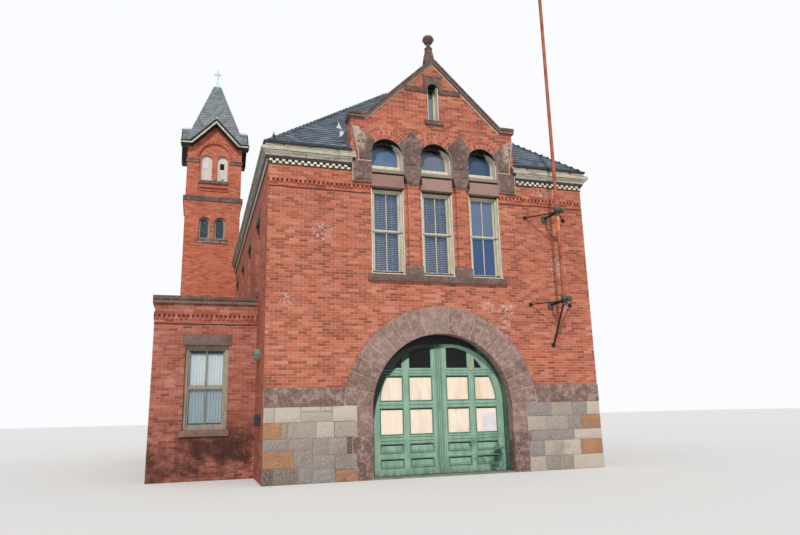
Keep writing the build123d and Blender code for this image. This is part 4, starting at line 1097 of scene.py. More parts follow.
# Base: (x0, x1, z0, z1, tone); tones run dark, brown, grey, stone, pale, white, ochre from 0 to 1
baseStones = {
    "face": -0.022, "rise": 0.016, "jamb": 2.12, "wideJamb": 2.2, "corner": 4.16,
    "courses": (0.0, 0.34, 0.695, 0.94, 1.28, 1.61), "tones": (0.34, 0.48, 0.56, 0.64, 0.74), "quoinTone": 0.97,
    "left": (
        (-4.16, -3.92, 1.28, 1.61, 0.68), (-3.92, -3.36, 1.28, 1.61, 0.76), (-3.36, -2.92, 1.49, 1.61, 0.74),
        (-2.92, -2.66, 1.49, 1.61, 0.70), (-3.36, -2.66, 1.28, 1.49, 0.64), (-2.66, -2.10, 1.28, 1.61, 0.78),
        (-4.16, -3.77, 0.94, 1.28, 1.0), (-3.77, -3.64, 0.94, 1.28, 0.5), (-3.64, -3.02, 0.94, 1.28, 0.56),
        (-3.02, -2.62, 0.94, 1.28, 0.72), (-2.62, -2.10, 0.94, 1.28, 0.58), (-4.16, -3.60, 0.695, 0.94, 0.32),
        (-3.60, -3.10, 0.695, 0.94, 0.5), (-3.10, -2.75, 0.58, 0.94, 0.42), (-2.75, -2.34, 0.58, 0.94, 0.52),
        (-2.34, -2.22, 0.58, 0.94, 0.0), (-4.16, -3.50, 0.34, 0.695, 0.96), (-3.50, -3.10, 0.34, 0.695, 0.34),
        (-3.10, -2.60, 0.30, 0.58, 0.4), (-2.60, -2.12, 0.26, 0.58, 0.36), (-4.16, -3.93, 0.0, 0.34, 0.02),
        (-3.93, -3.40, 0.0, 0.34, 0.16), (-3.40, -3.10, 0.0, 0.34, 0.3), (-3.10, -2.60, 0.0, 0.30, 0.34),
        (-2.60, -2.12, 0.0, 0.26, 0.99)),
}
beltStones = {"cuts": ((-4.16, -3.892), (-3.892, -2.34), (2.34, 3.2), (3.2, 3.86), (3.86, 4.16)),
              "levels": (1.614, 2.016), "face": -0.041, "archEnd": 2.34, "archRadius": 2.402}


def buildBase():
    yard, chance = Yard(5), random.Random(8)
    face, corner, courses = baseStones["face"], baseStones["corner"], baseStones["courses"]
    stones = list(baseStones["left"])
    for row, (low, high) in enumerate(zip(courses, courses[1:])):
        x = baseStones["wideJamb" if row == 2 else "jamb"]
        while x < corner:
            end = x + chance.uniform(0.34, 0.72)
            if end > 3.85:
                end = corner
            quoin = end == corner and row in (1, 3)
            tone = baseStones["quoinTone"] if quoin else chance.choice(baseStones["tones"])
            stones.append((x, end, low, high, tone))
            x = end
    for x0, x1, z0, z1, tone in stones:
        over = face - 0.012 if min(abs(x0), abs(x1)) < 2.19 else face
        yard.block(flatPlace(x0, x1, z0, z1, over, 0.005), (6, 4), baseStones["rise"], 0.003, 0.05, tone, 0.8)
    yard.build("baseBlocks", "granite", "granite")
    belt = Yard(6)
    for x0, x1 in beltStones["cuts"]:
        def ends(z, v):
            # the inner ends follow the arch
            curve = math.sqrt(beltStones["archRadius"] ** 2 - (z - archStones["spring"]) ** 2)
            return (curve if x0 == beltStones["archEnd"] else x0 + 0.005,
                    -curve if x1 == -beltStones["archEnd"] else x1 - 0.005)
        place = shapedPlace(*beltStones["levels"], ends, lambda u, v: beltStones["face"])
        belt.block(place, (max(3, int((x1 - x0) / 0.09)), 6), 0.012, 0.003, 0.05, 0.3)
    belt.build("beltBlocks", "brownstone", "brownstone")


# Stones round the three tall windows
def stoneFlank(z):
    # half the width of a stone between two round lights
    spring, shoulder, apex = pick(windowGroup, "spring shoulder apex")
    if z < spring:
        return windowGroup["capital"]
    if z < shoulder:
        return pilasters[1] - math.sqrt(windowGroup["radius"] ** 2 - (z - spring) ** 2)
    return 0.349 * (apex - z) / (apex - shoulder)


def sideEdges(z):
    # inner and outer edge of the stone beside the outer round light
    spring, shoulder, apex = pick(windowGroup, "spring shoulder apex")
    inner, outer = 1.70, 2.18 if z < 7.45 else 2.035
    if z > spring:
        outer = 2.05 + 0.13 * (z - spring) / (apex - spring)
        inner = windowCentres[2] + math.sqrt(max(0.0, windowGroup["radius"] ** 2 - (z - spring) ** 2))
    if z > shoulder:
        inner = 1.5785 + (2.03 - 1.5785) * (z - shoulder) / (apex - shoulder)
    return inner + 0.005, outer - 0.022


# Heights, with the tone of each block beside the lights; the rest are half widths and faces
windowStones = {"spandrel": 7.404, "cushion": (7.19, 7.40), "capital": (6.924, 7.186), "capitalShade": (6.921, 7.186),
                "blocks": ((6.92, 7.44, 0.5), (7.46, 8.325, 0.3)), "panel": (6.832, 7.142),
                "panelShade": (7.144, 7.188), "ledge": (7.196, 7.285), "foot": 0.148, "spread": 0.078,
                "bay": 0.414, "plinthFace": -0.062, "ledgeFace": -0.024, "sillFace": -0.08, "sillCut": 0.64}


def buildWindowStones():
    yard, soot = Yard(7), Yard(9)
    face, wide, sill, end, apex = pick(windowGroup, "face capital sill end apex")
    foot, spread, bay, cut = pick(windowStones, "foot spread bay sillCut")

    def carvedFace(u, v):
        carved = 0.012 * math.sin(u * 9.4) * math.sin(v * 6.3) if 0 < u < 1 and 0 < v < 1 else 0.0
        return face - 0.012 * v - carved

    for x in pilasters:
        spandrel = shapedPlace(windowStones["spandrel"], apex - 0.006,
                               lambda z, v: around(x, max(0.002, stoneFlank(z) - 0.004)), lambda u, v: face)
        yard.block(spandrel, (11, 20), 0.038, 0.004, 0.05, 0.35, 1.7)
        yard.block(flatPlace(*around(x, wide), *windowStones["cushion"], face), (7, 4), 0.02, 0.004, 0.05, 0.7)
        capital = shapedPlace(*windowStones["capital"], lambda z, v: around(x, foot + spread * v), carvedFace)
        yard.block(capital, (10, 8), 0.034, 0.006, 0.05, 0.45, 1.6)
        # painted shade: dark slabs beside each capital's carved foot
        low, high = windowStones["capitalShade"]
        for side in (-1, 1):
            edge, inner = x + side * wide, x + side * (foot + 0.004)
            soot.slab([(edge, low), (inner, low), (edge - side * 0.004, high), (edge, high)], -0.096, -0.05)
        plinth = flatPlace(*around(x, wide), sill + 0.002, windowGroup["plinthTop"], windowStones["plinthFace"])
        yard.block(plinth, (6, 4), 0.014, 0.004, 0.064, 0.6)
    for side in (-1, 1):
        for low, high, tone in windowStones["blocks"]:
            beside = shapedPlace(low + 0.005, high - 0.005, lambda z, v: mirrored(side, *sideEdges(z)),
                                 lambda u, v: face)
            yard.block(beside, (9, 16), 0.036, 0.004, 0.05, tone, 1.7)
    yard.build("windowGroupStones", "darkStone", "brownstone")
    smooth, sills, ledge = Yard(12), Yard(13), Yard(43)
    for x in windowCentres:
        panel = shapedPlace(*windowStones["panel"], lambda z, v: around(x, 0.413 + 0.02 * (1 - v)),
                            lambda u, v: -0.02 - 0.014 * (1 - v))
        smooth.block(panel, (6, 4), 0.006, 0.003, 0.05, None, 0.5)
        # a dark bar as painted shade under each round light's ledge
        soot.bar(*around(x, bay), -0.0215, -0.01, *windowStones["panelShade"])
        place = flatPlace(*around(x, bay), *windowStones["ledge"], windowStones["ledgeFace"], 0.001)
        ledge.block(place, (6, 2), 0.006, 0.002, 0.2, 0.9, 0.5)
    for x0, x1 in ((-end, -cut), (-cut, cut), (cut, end)):
        place = flatPlace(x0, x1, windowGroup["sillFoot"], sill, windowStones["sillFace"], 0.002)
        sills.block(place, (14, 3), 0.012, 0.003, 0.03, 0.3)
    soot.build("capitalShadows", "soot", "brownstone")
    smooth.build("transomPanels", "rosyStone", "brownstone")
    ledge.build("roundLightLedges", "greyStone", "brownstone")
    sills.build("frontSills", "sillStone", "brownstone")


def archPoints(centre, radius, low, spring, steps=14):
    # up one side of a round-headed opening, over, and down, as (x, z)
    turns = [math.pi * n / steps for n in range(steps + 1)]
    over = [(centre + radius * math.cos(t), spring + radius * math.sin(t)) for t in turns]
    return [(centre + radius, low), *over, (centre - radius, low)]


def liningRings(outer, inner, fronts, back):
    # a lining between two outlines, with its front edge at each of fronts
    return [[(a, y, b), (a, back, b), (c, back, d), (c, y, d)] for (a, b), (c, d), y in zip(outer, inner, fronts)]


linings = {"fronts": (0.02, 0.02, 0.02, 0.05, 0.10, 0.16, 0.2), "foot": 7.264, "slitFoot": 8.737, "slitSpring": 9.625,
           "ledge": ((-0.05, 4.641), (0.11, 4.641), (0.11, 4.692), (-0.05, 4.666))}


def buildLinings():
    # painted boards on the reveals, black as painted shade in the round heads and the slit's head, and ledges under
    # the sashes
    yard, head = Yard(14), Yard(44)
    low, spring = linings["foot"], windowGroup["spring"]
    for x in windowCentres:
        for side in (-1, 1):
            yard.bar(*sorted((x + side * 0.413, x + side * 0.392)), 0.008, 0.1, 4.66, 6.775)
        yard.slab(linings["ledge"], *around(x, 0.412), "x")
        yard.bar(*around(x, 0.391), 0.17, 0.206, 7.27, 7.44)
        outer, inner = archPoints(x, 0.412, low, spring), archPoints(x, 0.392, low, spring)
        yard.sweep(liningRings(outer, inner, linings["fronts"], 0.21))
        # painted shade: black linings over the heads
        outer, inner = archPoints(x, 0.414, low, spring)[1:], archPoints(x, 0.40, low, spring)[1:]
        head.sweep(liningRings(outer, inner, [0.018] * len(outer), 0.209))
    outer, inner = (archPoints(0, radius, linings["slitFoot"], linings["slitSpring"]) for radius in (0.148, 0.13))
    rings = liningRings(outer, inner, [0.005] * len(outer), 0.209)
    yard.sweep(rings[:5])
    yard.sweep(rings[-2:])
    head.sweep(rings[4:-1])
    yard.build("windowLinings", "palePaint", "cream_paint", bevel=0.003)
    head.build("roundLightHeadShade", "soot", "cream_paint")


def ringUnits(centre, y, rows, angle0, angle1, width, proud, seed):
    # bricks on edge round an arch head
    chance = random.Random(seed)
    units = []
    for r0, r1 in rows:
        middle = (r0 + r1) / 2
        count = max(3, round((angle1 - angle0) * middle / width))
        size = ((angle1 - angle0) * middle / count - 0.011, 0.04 + proud, r1 - r0 - 0.01)
        for n in range(count):
            angle = angle0 + (angle1 - angle0) * (n + 0.5) / count
            place = (centre[0] + middle * math.cos(angle), y + 0.02 - proud / 2, centre[1] + middle * math.sin(angle))
            units.append((place, size, (0, math.pi / 2 - angle, 0), chance.random()))
    return units


# Moulded brick bands: a course, a row of teeth, a course and a thin ledge, measured down from the top
brickBand = {"brick": 0.215, "pitch": 0.1075, "tooth": 0.06, "bed": 0.012, "joint": 0.004,
             "shade": (0.0095, 0.01), "shadeLevels": ((0.118, 0.064, 0), (0.188, 0.164, 1))}


def bandUnits(axis, plane, out, span, top, tooth, seed):
    chance = random.Random(seed)
    units = []

    def unit(a, b, z0, z1, proud):
        depth = proud + brickBand["bed"]
        sizes = (b - a, depth, z1 - z0)
        units.append(wallUnit(axis, (a + b) / 2, plane + out * (proud - depth / 2), (z0 + z1) / 2, sizes,
                              chance.random()))

    def course(z0, z1, proud):
        count = max(1, round((span[1] - span[0]) / brickBand["brick"]))
        cuts = [span[0] + (span[1] - span[0]) * n / count for n in range(count + 1)]
        for a, b in zip(cuts, cuts[1:]):
            unit(a + brickBand["joint"], b - brickBand["joint"], z0, z1, proud)

    course(top - 0.063, top, 0.026)
    count = round((span[1] - span[0]) / brickBand["pitch"])
    for n in range(count):
        a = span[0] + (span[1] - span[0]) * (n + 0.22) / count
        unit(a, a + brickBand["tooth"], top - 0.067 - tooth, top - 0.067, 0.026)
    course(top - 0.127 - tooth, top - 0.072 - tooth, 0.005)
    course(top - 0.16 - tooth, top - 0.13 - tooth, 0.014)
    return units


def bandShade(yard, axis, plane, out, span, top, tooth):
    # painted shade: dark strips between the teeth and under the ledge
    front, back = brickBand["shade"]
    across = sorted((plane + out * front, plane - out * back))
    for low, high, below in brickBand["shadeLevels"]:
        spans = (*span, *across) if axis == "x" else (*across, *span)
        yard.bar(*spans, top - low - tooth * below, top - high - tooth * below)


ringBricks = {"rows": ((0.42, 0.525), (0.53, 0.635), (0.64, 0.745)), "bed": (0.417, 0.75), "width": 0.068}


def buildBrickTrim():
    units, bed, shade = [], Yard(45), Yard(46)
    spring, (low, high) = windowGroup["spring"], ringBricks["bed"]
    for x in windowCentres:
        units += ringUnits((x, spring), 0.0, ringBricks["rows"], math.pi * 0.26, math.pi * 0.74, ringBricks["width"],
                           0.011, int(x * 10) + 40)
        angles = [math.pi * (0.255 + 0.49 * n / 10) for n in range(11)]
        bed.sweep([[(x + r * math.cos(a), y, spring + r * math.sin(a)) for r, y in
                    ((low, -0.0065), (high, -0.0065), (high, 0.02), (low, 0.02))] for a in angles])
    bed.build("ringMortar", "paleMortar", "brick")
    for side in (-1, 1):
        band = ("x", 0.0, -1, mirrored(side, 1.71, mainHalf), windowGroup["bandTop"], 0.081)
        units += bandUnits(*band, 21 + side)
        bandShade(shade, *band)
    layUnits("frontBrickTrim", units, "looseBrick")
    units = []
    left, front, back, tooth = pick(wing, "left front back tooth")
    for seed, axis, plane, span in ((31, "x", front, (left, -4.165)), (32, "y", left, (front, back))):
        band = (axis, plane, -1, span, wing["band"][1], tooth)
        units += bandUnits(*band, seed)
        bandShade(shade, *band)
    shade.build("bandShadows", "paintedBandShade", "brick")
    layUnits("wingBrickTrim", units, "wingLoose")


# White slats behind the left and middle windows
blinds = {"windows": windowCentres[:2], "half": 0.30, "low": 4.80, "high": 6.74, "pitch": 0.046, "depth": 0.045,
          "tilt": 35, "y": 0.262, "tapes": (-0.18, 0.18)}


def buildBlinds():
    units = []
    turn, flat = (math.radians(blinds["tilt"]), 0, 0), (0, 0, 0)
    low, high, y, wide = blinds["low"], blinds["high"], blinds["y"], 2 * blinds["half"]
    for x in blinds["windows"]:
        z = low
        while z < high:
            units.append(((x, y, z), (wide, blinds["depth"], 0.003), turn, 0.5))
            z += blinds["pitch"]
        for side in blinds["tapes"]:
            units.append(((x + side, y + 0.022, (low + high) / 2), (0.024, 0.002, high - low), flat, 0.5))
        units.append(((x, y, high + 0.02), (wide + 0.02, 0.05, 0.04), flat, 0.5))
        units.append(((x, y, low - 0.03), (wide, 0.03, 0.02), flat, 0.5))
    layUnits("windowBlinds", units, "whiteTrim")


# Cornice: staggered blocks, gutter with straps, spike at the corner and pale patches beside the gable
eaves = {"gable": 2.19, "teethEnd": 2.23, "pitch": 0.153, "block": 0.076, "strapPitch": 0.62, "towerFace": 14.17,
         "rows": ((0.27, 7.270, 0.05), (0.77, 7.213, 0.046)),
         "gutter": ((0.098, 7.652), (0.134, 7.652), (0.142, 7.706), (0.130, 7.708), (0.124, 7.668), (0.098, 7.668)),
         "spike": ((0.036, -0.03), (0.036, 0.01), (0.022, 0.03), (0.018, 0.07), (0.034, 0.085), (0.036, 0.11),
                   (0.02, 0.13), (0.006, 0.20)),
         "spikeFoot": (-4.07, -0.1, 7.73), "patchLift": (0.022, 0.034),
         "patches": (((-2.37, 0.46), (-2.26, 0.42), (-2.205, 0.50), (-2.205, 0.86), (-2.30, 0.80)),
                     ((-2.34, 1.02), (-2.205, 0.98), (-2.205, 1.44), (-2.25, 1.20)))}


def buildEaves():
    gutter, start, end = Yard(15), eaves["gable"], eaves["teethEnd"]
    paths = []
    for out, z in eaves["gutter"]:
        half, back = mainHalf + out, mainBack + out
        paths.append(([(-start, -out, z), (-half, -out, z), (-half, wing["back"], z)],
                      [(-half, eaves["towerFace"], z), (-half, back, z), (half, back, z), (half, -out, z),
                       (start, -out, z)]))
    for part in (0, 1):
        gutter.sweep([list(ring) for ring in zip(*(path[part] for path in paths))])
    gutter.lathe(eaves["spikeFoot"], eaves["spike"], 10)
    gutter.build("gutters", "lead", "iron")
    teeth, straps = [], []
    for axis, plane, out, start, end in (
            ("x", 0.0, -1, -mainHalf, -end), ("x", 0.0, -1, end, mainHalf), ("x", mainBack, 1, -mainHalf, mainHalf),
            ("y", -mainHalf, -1, 0.0, wing["back"]), ("y", -mainHalf, -1, eaves["towerFace"], mainBack),
            ("y", mainHalf, 1, 0.0, mainBack)):
        count = round((end - start) / eaves["pitch"])
        for n in range(count):
            for shift, z, high in eaves["rows"]:
                along = start + (end - start) * (n + shift) / count
                teeth.append(wallUnit(axis, along, plane + out * 0.034, z, (eaves["block"], 0.03, high)))
        count = max(1, round((end - start) / eaves["strapPitch"]))
        for n in range(count):
            along = start + (end - start) * (n + 0.5) / count
            straps.append(wallUnit(axis, along, plane + out * 0.125, 7.668, (0.02, 0.05, 0.088)))
    layUnits("corniceBlocks", teeth, "palePaint")
    layUnits("gutterStraps", straps, "lead")
    patches = Yard(16)
    for outline in eaves["patches"]:
        patches.sweep([[(x, y, roof["base"] + roof["pitch"] * (y - roof["front"]) + lift) for x, y in outline]
                       for lift in eaves["patchLift"]])
    patches.build("roofPatches", "whiteLead", "slate")


# Caps along hips and ridges, each lapping the one below
caps = {"hip": {"width": 0.08, "thick": 0.014, "step": 0.34, "lift": 0.014},
        "ridge": {"width": 0.11, "thick": 0.014, "step": 0.34, "lift": 0.018},
        "gable": {"width": 0.13, "thick": 0.014, "step": 0.34, "lift": 0.018},
        "spire": {"width": 0.05, "thick": 0.01, "step": 0.28, "lift": 0.014},
        "tower": {"width": 0.06, "thick": 0.01, "step": 0.27, "lift": 0.014}}


def capRun(yard, start, end, normals, kind):
    width, thick, step, lift = pick(caps[kind], "width thick step lift")
    start, end = Vector(start), Vector(end)
    along = (end - start).normalized()
    normals = [Vector(normal).normalized() for normal in normals]
    sides = [along.cross(normal) for normal in normals]
    sides = [-side if side.z > 0 else side for side in sides]
    up = (normals[0] + normals[1]).normalized()
    length = (end - start).length
    count = max(1, round(length / step))
    for n in range(count):
        rings = []
        for place, rise in ((max(0.0, n - 0.12) / count, 0.012), (min(1.0, (n + 1) / count), 0.0)):
            at = start + along * length * place + up * rise
            edges = [[at + side * width + normal * high for high in (lift, lift + thick)]
                     for side, normal in zip(sides, normals)]
            rings.append([at + up * (lift + thick), edges[0][1], edges[0][0], at + up * lift * 0.9, *edges[1]])
        yard.sweep(rings)


def buildCaps():
    yard = Yard(17)
    edge, front, back, base, pitch, top = pick(roof, "edge front back base pitch top")
    peaks = (mainHalf, mainBack - mainHalf)
    for x in (-edge, edge):
        for y, peak in ((front, peaks[0]), (back, peaks[1])):
            foot, tip = Vector((x, y, base)), Vector((0, peak, top))
            slopes = ((0, math.copysign(pitch, y), 1), (math.copysign(pitch, x), 0, 1))
            capRun(yard, foot.lerp(tip, 0.025), tip, slopes, "hip")
    capRun(yard, (0, peaks[0], top), (0, peaks[1], top), ((-pitch, 0, 1), (pitch, 0, 1)), "ridge")
    high, slope = gableRoof["top"], gableRoof["pitch"]
    capRun(yard, (0, gableRoof["front"], high), (0, 2.88, high), ((-slope, 0, 1), (slope, 0, 1)), "gable")
    yard.build("roofCaps", "mainSlate", "slate")
    dark, pale = Yard(18), Yard(19)
    low, high, rise, ridge = spire["low"], spire["high"], spire["top"] - spire["base"], spire["ridge"]
    roll = ((-0.03, ridge), (0.03, ridge), (0.024, ridge + 0.065), (-0.024, ridge + 0.065))
    for spin in quarterTurns():
        foot, tip = (tower["centre"] + spin @ Vector((-out, -out, z))
                     for out, z in ((low, spire["base"]), (high, spire["top"])))
        normals = [spin @ Vector(normal) for normal in ((0, -rise, low - high), (-rise, 0, low - high))]
        capRun(dark, foot.lerp(tip, 0.28), tip, normals, "spire")
        start, end = (tower["centre"] + spin @ Vector((0, -out, ridge)) for out in (0.82, spire["edge"]))
        capRun(pale, start, end, [spin @ Vector((side * tower["pitch"], 0, 1)) for side in (-1, 1)], "tower")
        pale.sweep([[tower["centre"] + spin @ Vector((a, -out, z)) for a, z in roll] for out in (0.8, 1.335)])
    dark.build("spireCaps", "towerSlate", "slate")
    pale.build("towerRidgeFlashing", "whiteLead", "slate")


# Gable copings in two bands, a pale line under them, and the kneelers
copings = {"bands": ((0.02, 0.46, 0.006, 0.0, 0.95), (0.5, 1.0, 0.008, 0.022, 0.1)), "count": 5, "height": 0.15,
           "kneelers": ((8.60, 8.668, -0.06, 0.006, 0.03, 0.9), (8.676, 8.75, -0.08, 0.008, 0.05, 0.1)),
           "line": (0.045, 0.008), "wingCount": 4, "wingStep": 0.61, "wingStart": -6.60, "wingEnd": -4.165,
           "wing": ((4.132, 4.20, 1.86, 2, 0.006, 0.03, 0.8, 0.6), (4.222, 4.318, 1.84, 3, 0.01, 0.05, 0.25, 0.8))}


def buildCopings():
    yard, line = Yard(20), Yard(21)
    foot, low, high = pick(gable, "slopeHalf slopeFoot slopeTop")
    for side in (-1, 1):
        for n in range(copings["count"]):
            for v0, v1, rise, over, tone in copings["bands"]:
                def place(u, v, out):
                    t = (n + 0.012 + 0.976 * (u if side < 0 else 1 - u)) / copings["count"]
                    return (side * foot * (1 - t), -0.06 - over - out,
                            low + (high - low) * t + copings["height"] * (v0 + (v1 - v0) * v))
                yard.block(place, (4, 2), rise, 0.003, 0.03 + over, tone, 0.6)
        for z0, z1, face, rise, depth, tone in copings["kneelers"]:
            place = flatPlace(*mirrored(side, 1.80, 2.25), z0, z1, face, 0.001)
            yard.block(place, (5, 2), rise, 0.003, depth, tone, 0.6)
        down, up = copings["line"]
        line.slab([(side * foot, low - down), (0, high - down), (0, high - up), (side * foot, low - up)], -0.014, 0.0,
                  tone=0.5)
    yard.build("gableCopingStones", "sillStone", "brownstone")
    line.build("gableCopingLine", "palePaint", "cream_paint")
    stones = Yard(22)
    for n in range(copings["wingCount"]):
        x0, x1 = (min(copings["wingEnd"], copings["wingStart"] + copings["wingStep"] * m) for m in (n, n + 1))
        for z0, z1, face, rows, rise, depth, tone, rough in copings["wing"]:
            stones.block(flatPlace(x0, x1, z0, z1, face, 0.003), (5, rows), rise, 0.003, depth, tone, rough)
    stones.build("wingCopingStones", "sillStone", "brownstone")


def buildWallStones():
    # sills and lintels of the plain windows
    yard, prouds = Yard(23), (0.05, 0.025)
    windows = [("y", side, mainHalf * side, y, "upper") for side in (-1, 1) for y in windowsOn(side)]
    windows += [("x", 1, mainBack, x, "upper") for x in rearWindows]
    windows.append(("x", -1, wing["front"], wing["window"], "wing"))
    for axis, side, plane, centre, kind in windows:
        for (start, end, low, high), proud in zip(openingStones(centre, kind)[1:], prouds):
            yard.block(wallPlace(axis, side, start, end, low, high, plane + side * proud),
                       (8 if kind == "wing" else 7, 3), 0.012, 0.004, 0.03)
    yard.build("wallSillsAndLintels", "sillStone", "brownstone")


# Tower trim, made for the front and turned for the other sides
towerTrim = {"drop": 0.145, "deep": 0.26, "face": -1.335, "boards": ((0.052, 0.160, -1.372),),
             "edges": ((0.172, 0.262, -1.385), (0.004, 0.046, -1.358)),
             "imposts": ((11.765, 11.845, 0.004, 0.9), (11.857, 11.928, 0.016, 0.1)),
             "rings": ((0.622, 0.725, 0.078, 0.026, 60), (0.735, 0.80, 0.2, 0.010, 70)),
             "ledges": ((10.70, 10.765, 0.022), (10.60, 10.63, 0.012)),
             "holes": ((-4.963, -4.79, 11.57, 11.83), (-4.885, -4.79, 11.09, 11.135)),
             "patch": (-5.63, -5.43, 12.142, 12.1495, 11.59, 11.81)}


def rakeLine(lift):
    # the gable's line at a height over its underside: ridge, foot of the rake, end
    foot = tower["belfry"][1] + lift * towerTrim["drop"] / towerTrim["deep"]
    top = tower["peak"] + lift
    return [(0.0, top), ((top - foot) / tower["pitch"], foot), (spire["edge"], foot)]


def buildTowerTrim():
    boards, edges, units, bands = Yard(24), Yard(25), [], Yard(26)
    plane, spring = -tower["half"], tower["arch"][0]
    for n, spin in enumerate(quarterTurns()):
        def turned(x, y, z):
            return tuple(tower["centre"] + spin @ Vector((x, y, z)))
        for side in (-1, 1):
            # the edges are black strips: the upper one the roof's edge, the lower one painted shade under the
            # bargeboards
            for yard, kind in ((boards, "boards"), (edges, "edges")):
                for low, high, near in towerTrim[kind]:
                    outline = [(side * x, z) for x, z in rakeLine(low) + rakeLine(high)[::-1]]
                    yard.sweep([[turned(x, y, z) for x, z in outline] for y in (near, towerTrim["face"])])
            for z0, z1, over, tone in towerTrim["imposts"]:
                outline = corners(*mirrored(side, 0.62, 1.118), z0, z1)
                bands.sweep([[turned(x, y, z) for x, z in outline] for y in (-1.12 - over, -1.1)], tone=tone)
        ring = []
        for inner, outer, width, proud, seed in towerTrim["rings"]:
            ring += ringUnits((0.0, spring), plane, ((inner, outer),), 0.0, math.pi, width, proud, seed + n)
        for z0, z1, proud in towerTrim["ledges"]:
            for m in range(5):
                ring.append(wallUnit("x", -0.44 + 0.22 * m, plane - proud / 2, (z0 + z1) / 2,
                                     (0.212, proud + 0.01, z1 - z0), 0.4))
        for place, size, turn, tone in ring:
            angle = (spin @ Matrix.Rotation(turn[1], 3, "Y")).to_euler()
            units.append((turned(*place), size, tuple(angle), tone))
    boards.build("towerBargeboards", "bargePaint", "cream_paint")
    edges.build("towerRoofEdgesAndShade", "soot", "roofing")
    bands.build("towerImpostBands", "darkStone", "brownstone")
    layUnits("towerBrickTrim", units, "towerLoose")
    holes, patch = Yard(27), Yard(28)
    # dark plates where the boards have holes, their black painted shade
    for x0, x1, z0, z1 in towerTrim["holes"]:
        holes.bar(x0, x1, 12.145, 12.1495, z0, z1)
    holes.build("belfryHoles", "soot", "pale_board")
    patch.bar(*towerTrim["patch"])
    patch.build("belfryPatch", "whiteLead", "pale_board", bevel=0.002)


# Doors: mouldings round the boards, raised fields in the panels, beads at the meeting edges, with painted shade:
# darker green on the mouldings and black bars under the heads
doorTrim = {"face": 0.311, "foot": 0.04, "columns": ((0.200, 0.744), (0.933, 1.460)),
            "boards": ((0.948, 1.518), (1.711, 2.263)), "panels": ((0.217, 0.387), (0.544, 0.716)),
            "curve": (0.28, 1.665, 1.18), "rails": (0.79, 0.87, 1.60, 2.33, 2.40),
            "mould": ((0.0, 0.312), (0.0, 0.304), (0.010, 0.300), (0.024, 0.305), (0.026, 0.312)),
            "field": ((-0.008, 0.3285), (-0.014, 0.326), (-0.042, 0.3165)),
            "beads": ((((0.007, 0.312), (0.009, 0.303), (0.016, 0.297), (0.026, 0.295), (0.036, 0.299),
                        (0.042, 0.312)), 3.035),
                      (((0.060, 0.312), (0.062, 0.305), (0.074, 0.305), (0.078, 0.312)), 3.03)),
            "fillets": ((0.0435, 0.0585), (0.080, 0.088)),
            "hook": ((((0.815, 2.42), (0.850, 2.42), (0.855, 2.60), (0.835, 2.63), (0.812, 2.60)), 0.008, 0.0005),
                     (((0.80, 2.40), (0.865, 2.40), (0.865, 2.47), (0.833, 2.50), (0.80, 2.47)), 0.022, 0.008)),
            "notice": {"span": (1.095, 1.44), "low": 0.962, "high": 1.39, "steps": 6, "bow": 0.002}}


def offsetOutline(points, amount):
    # move each edge of a counter-clockwise outline outwards
    moved = []
    count = len(points)
    for n in range(count):
        before, here, after = (Vector(points[(n + k) % count]) for k in (-1, 0, 1))
        a, b = (here - before).normalized(), (after - here).normalized()
        bisect = Vector((a.y + b.y, -a.x - b.x))
        moved.append(tuple(here + bisect * (amount / max(1.0 + a.dot(b), 0.2))))
    return moved


def buildLeafTrim(side, body):
    yard, mould, shade = Yard(30 + side), Yard(40 + side), Yard(42)
    face, foot = doorTrim["face"], doorTrim["foot"]

    def rings(outline, kind):
        return [[(side * x, y, z) for x, z in offsetOutline(outline, out)] for out, y in doorTrim[kind]]

    def framed(outline, near, far):
        # moulding round an outline, and a black bar as painted shadow under its head
        mould.sweep(rings(outline, "mould"), looped=True)
        top = outline[-1][1]
        span = mirrored(side, outline[-1][0] + 0.001, outline[-2][0] - 0.001)
        shade.bar(*span, near, far, top - 0.024, top - 0.001)

    for column, (x0, x1) in enumerate(doorTrim["columns"]):
        for row, (z0, z1) in enumerate(doorTrim["boards"]):
            outline = corners(x0, x1, z0, z1)
            if column and row:
                cx, cz, radius = doorTrim["curve"]
                heights = [z0 + (z1 - z0) * n / 8 for n in range(9)]
                curve = [(cx + math.sqrt(radius ** 2 - (z - cz) ** 2), z) for z in heights]
                outline = [(x0, z0), *curve, (x0, z1)]
            framed(outline, 0.322, 0.3305)
        for z0, z1 in doorTrim["panels"]:
            outline = corners(x0, x1, z0, z1)
            yard.sweep(rings(outline, "field"))
            framed(outline, 0.3165, 0.329)
        for z in doorTrim["rails"]:
            mould.bar(*mirrored(side, x0 - 0.03, x1 + 0.03), face - 0.006, face + 0.001, z, z + 0.014)
    for outline, top in doorTrim["beads"]:
        yard.slab([(side * x, y) for x, y in outline], foot, top, "z")
    # thin darker strips beside the beads, painted shade lines
    for x0, x1 in doorTrim["fillets"]:
        mould.bar(*mirrored(side, x0, x1), 0.3085, 0.312, foot, 3.02)
    yard.build(body + "_beads", "doorGreen", "green_paint", body)
    mould.build(body + "_mouldings", "greenMouldShade", "green_paint", body)
    shade.build(body + "_shadows", "soot", "green_paint", body)


def buildDoorTrim():
    for side, body in ((-1, "left_door"), (1, "right_door")):
        buildLeafTrim(side, body)
    hook, notice = Yard(33), Yard(34)
    for outline, near, far in doorTrim["hook"]:
        hook.slab(outline, doorTrim["face"] - near, doorTrim["face"] - far)
    hook.build("doorHook", "brass", "iron", "right_door", bevel=0.002)
    (x0, x1), low, high, steps, deep = doorTrim["notice"].values()
    rings = []
    for n in range(steps + 1):
        z, bow = low + (high - low) * n / steps, deep * math.sin(math.pi * n / steps)
        rings.append([(x, y - bow, z) for x, y in corners(x0, x1, 0.3285, 0.3298)])
    notice.sweep(rings)
    notice.build("bareNotice", "paper", "pale_board", "right_door")


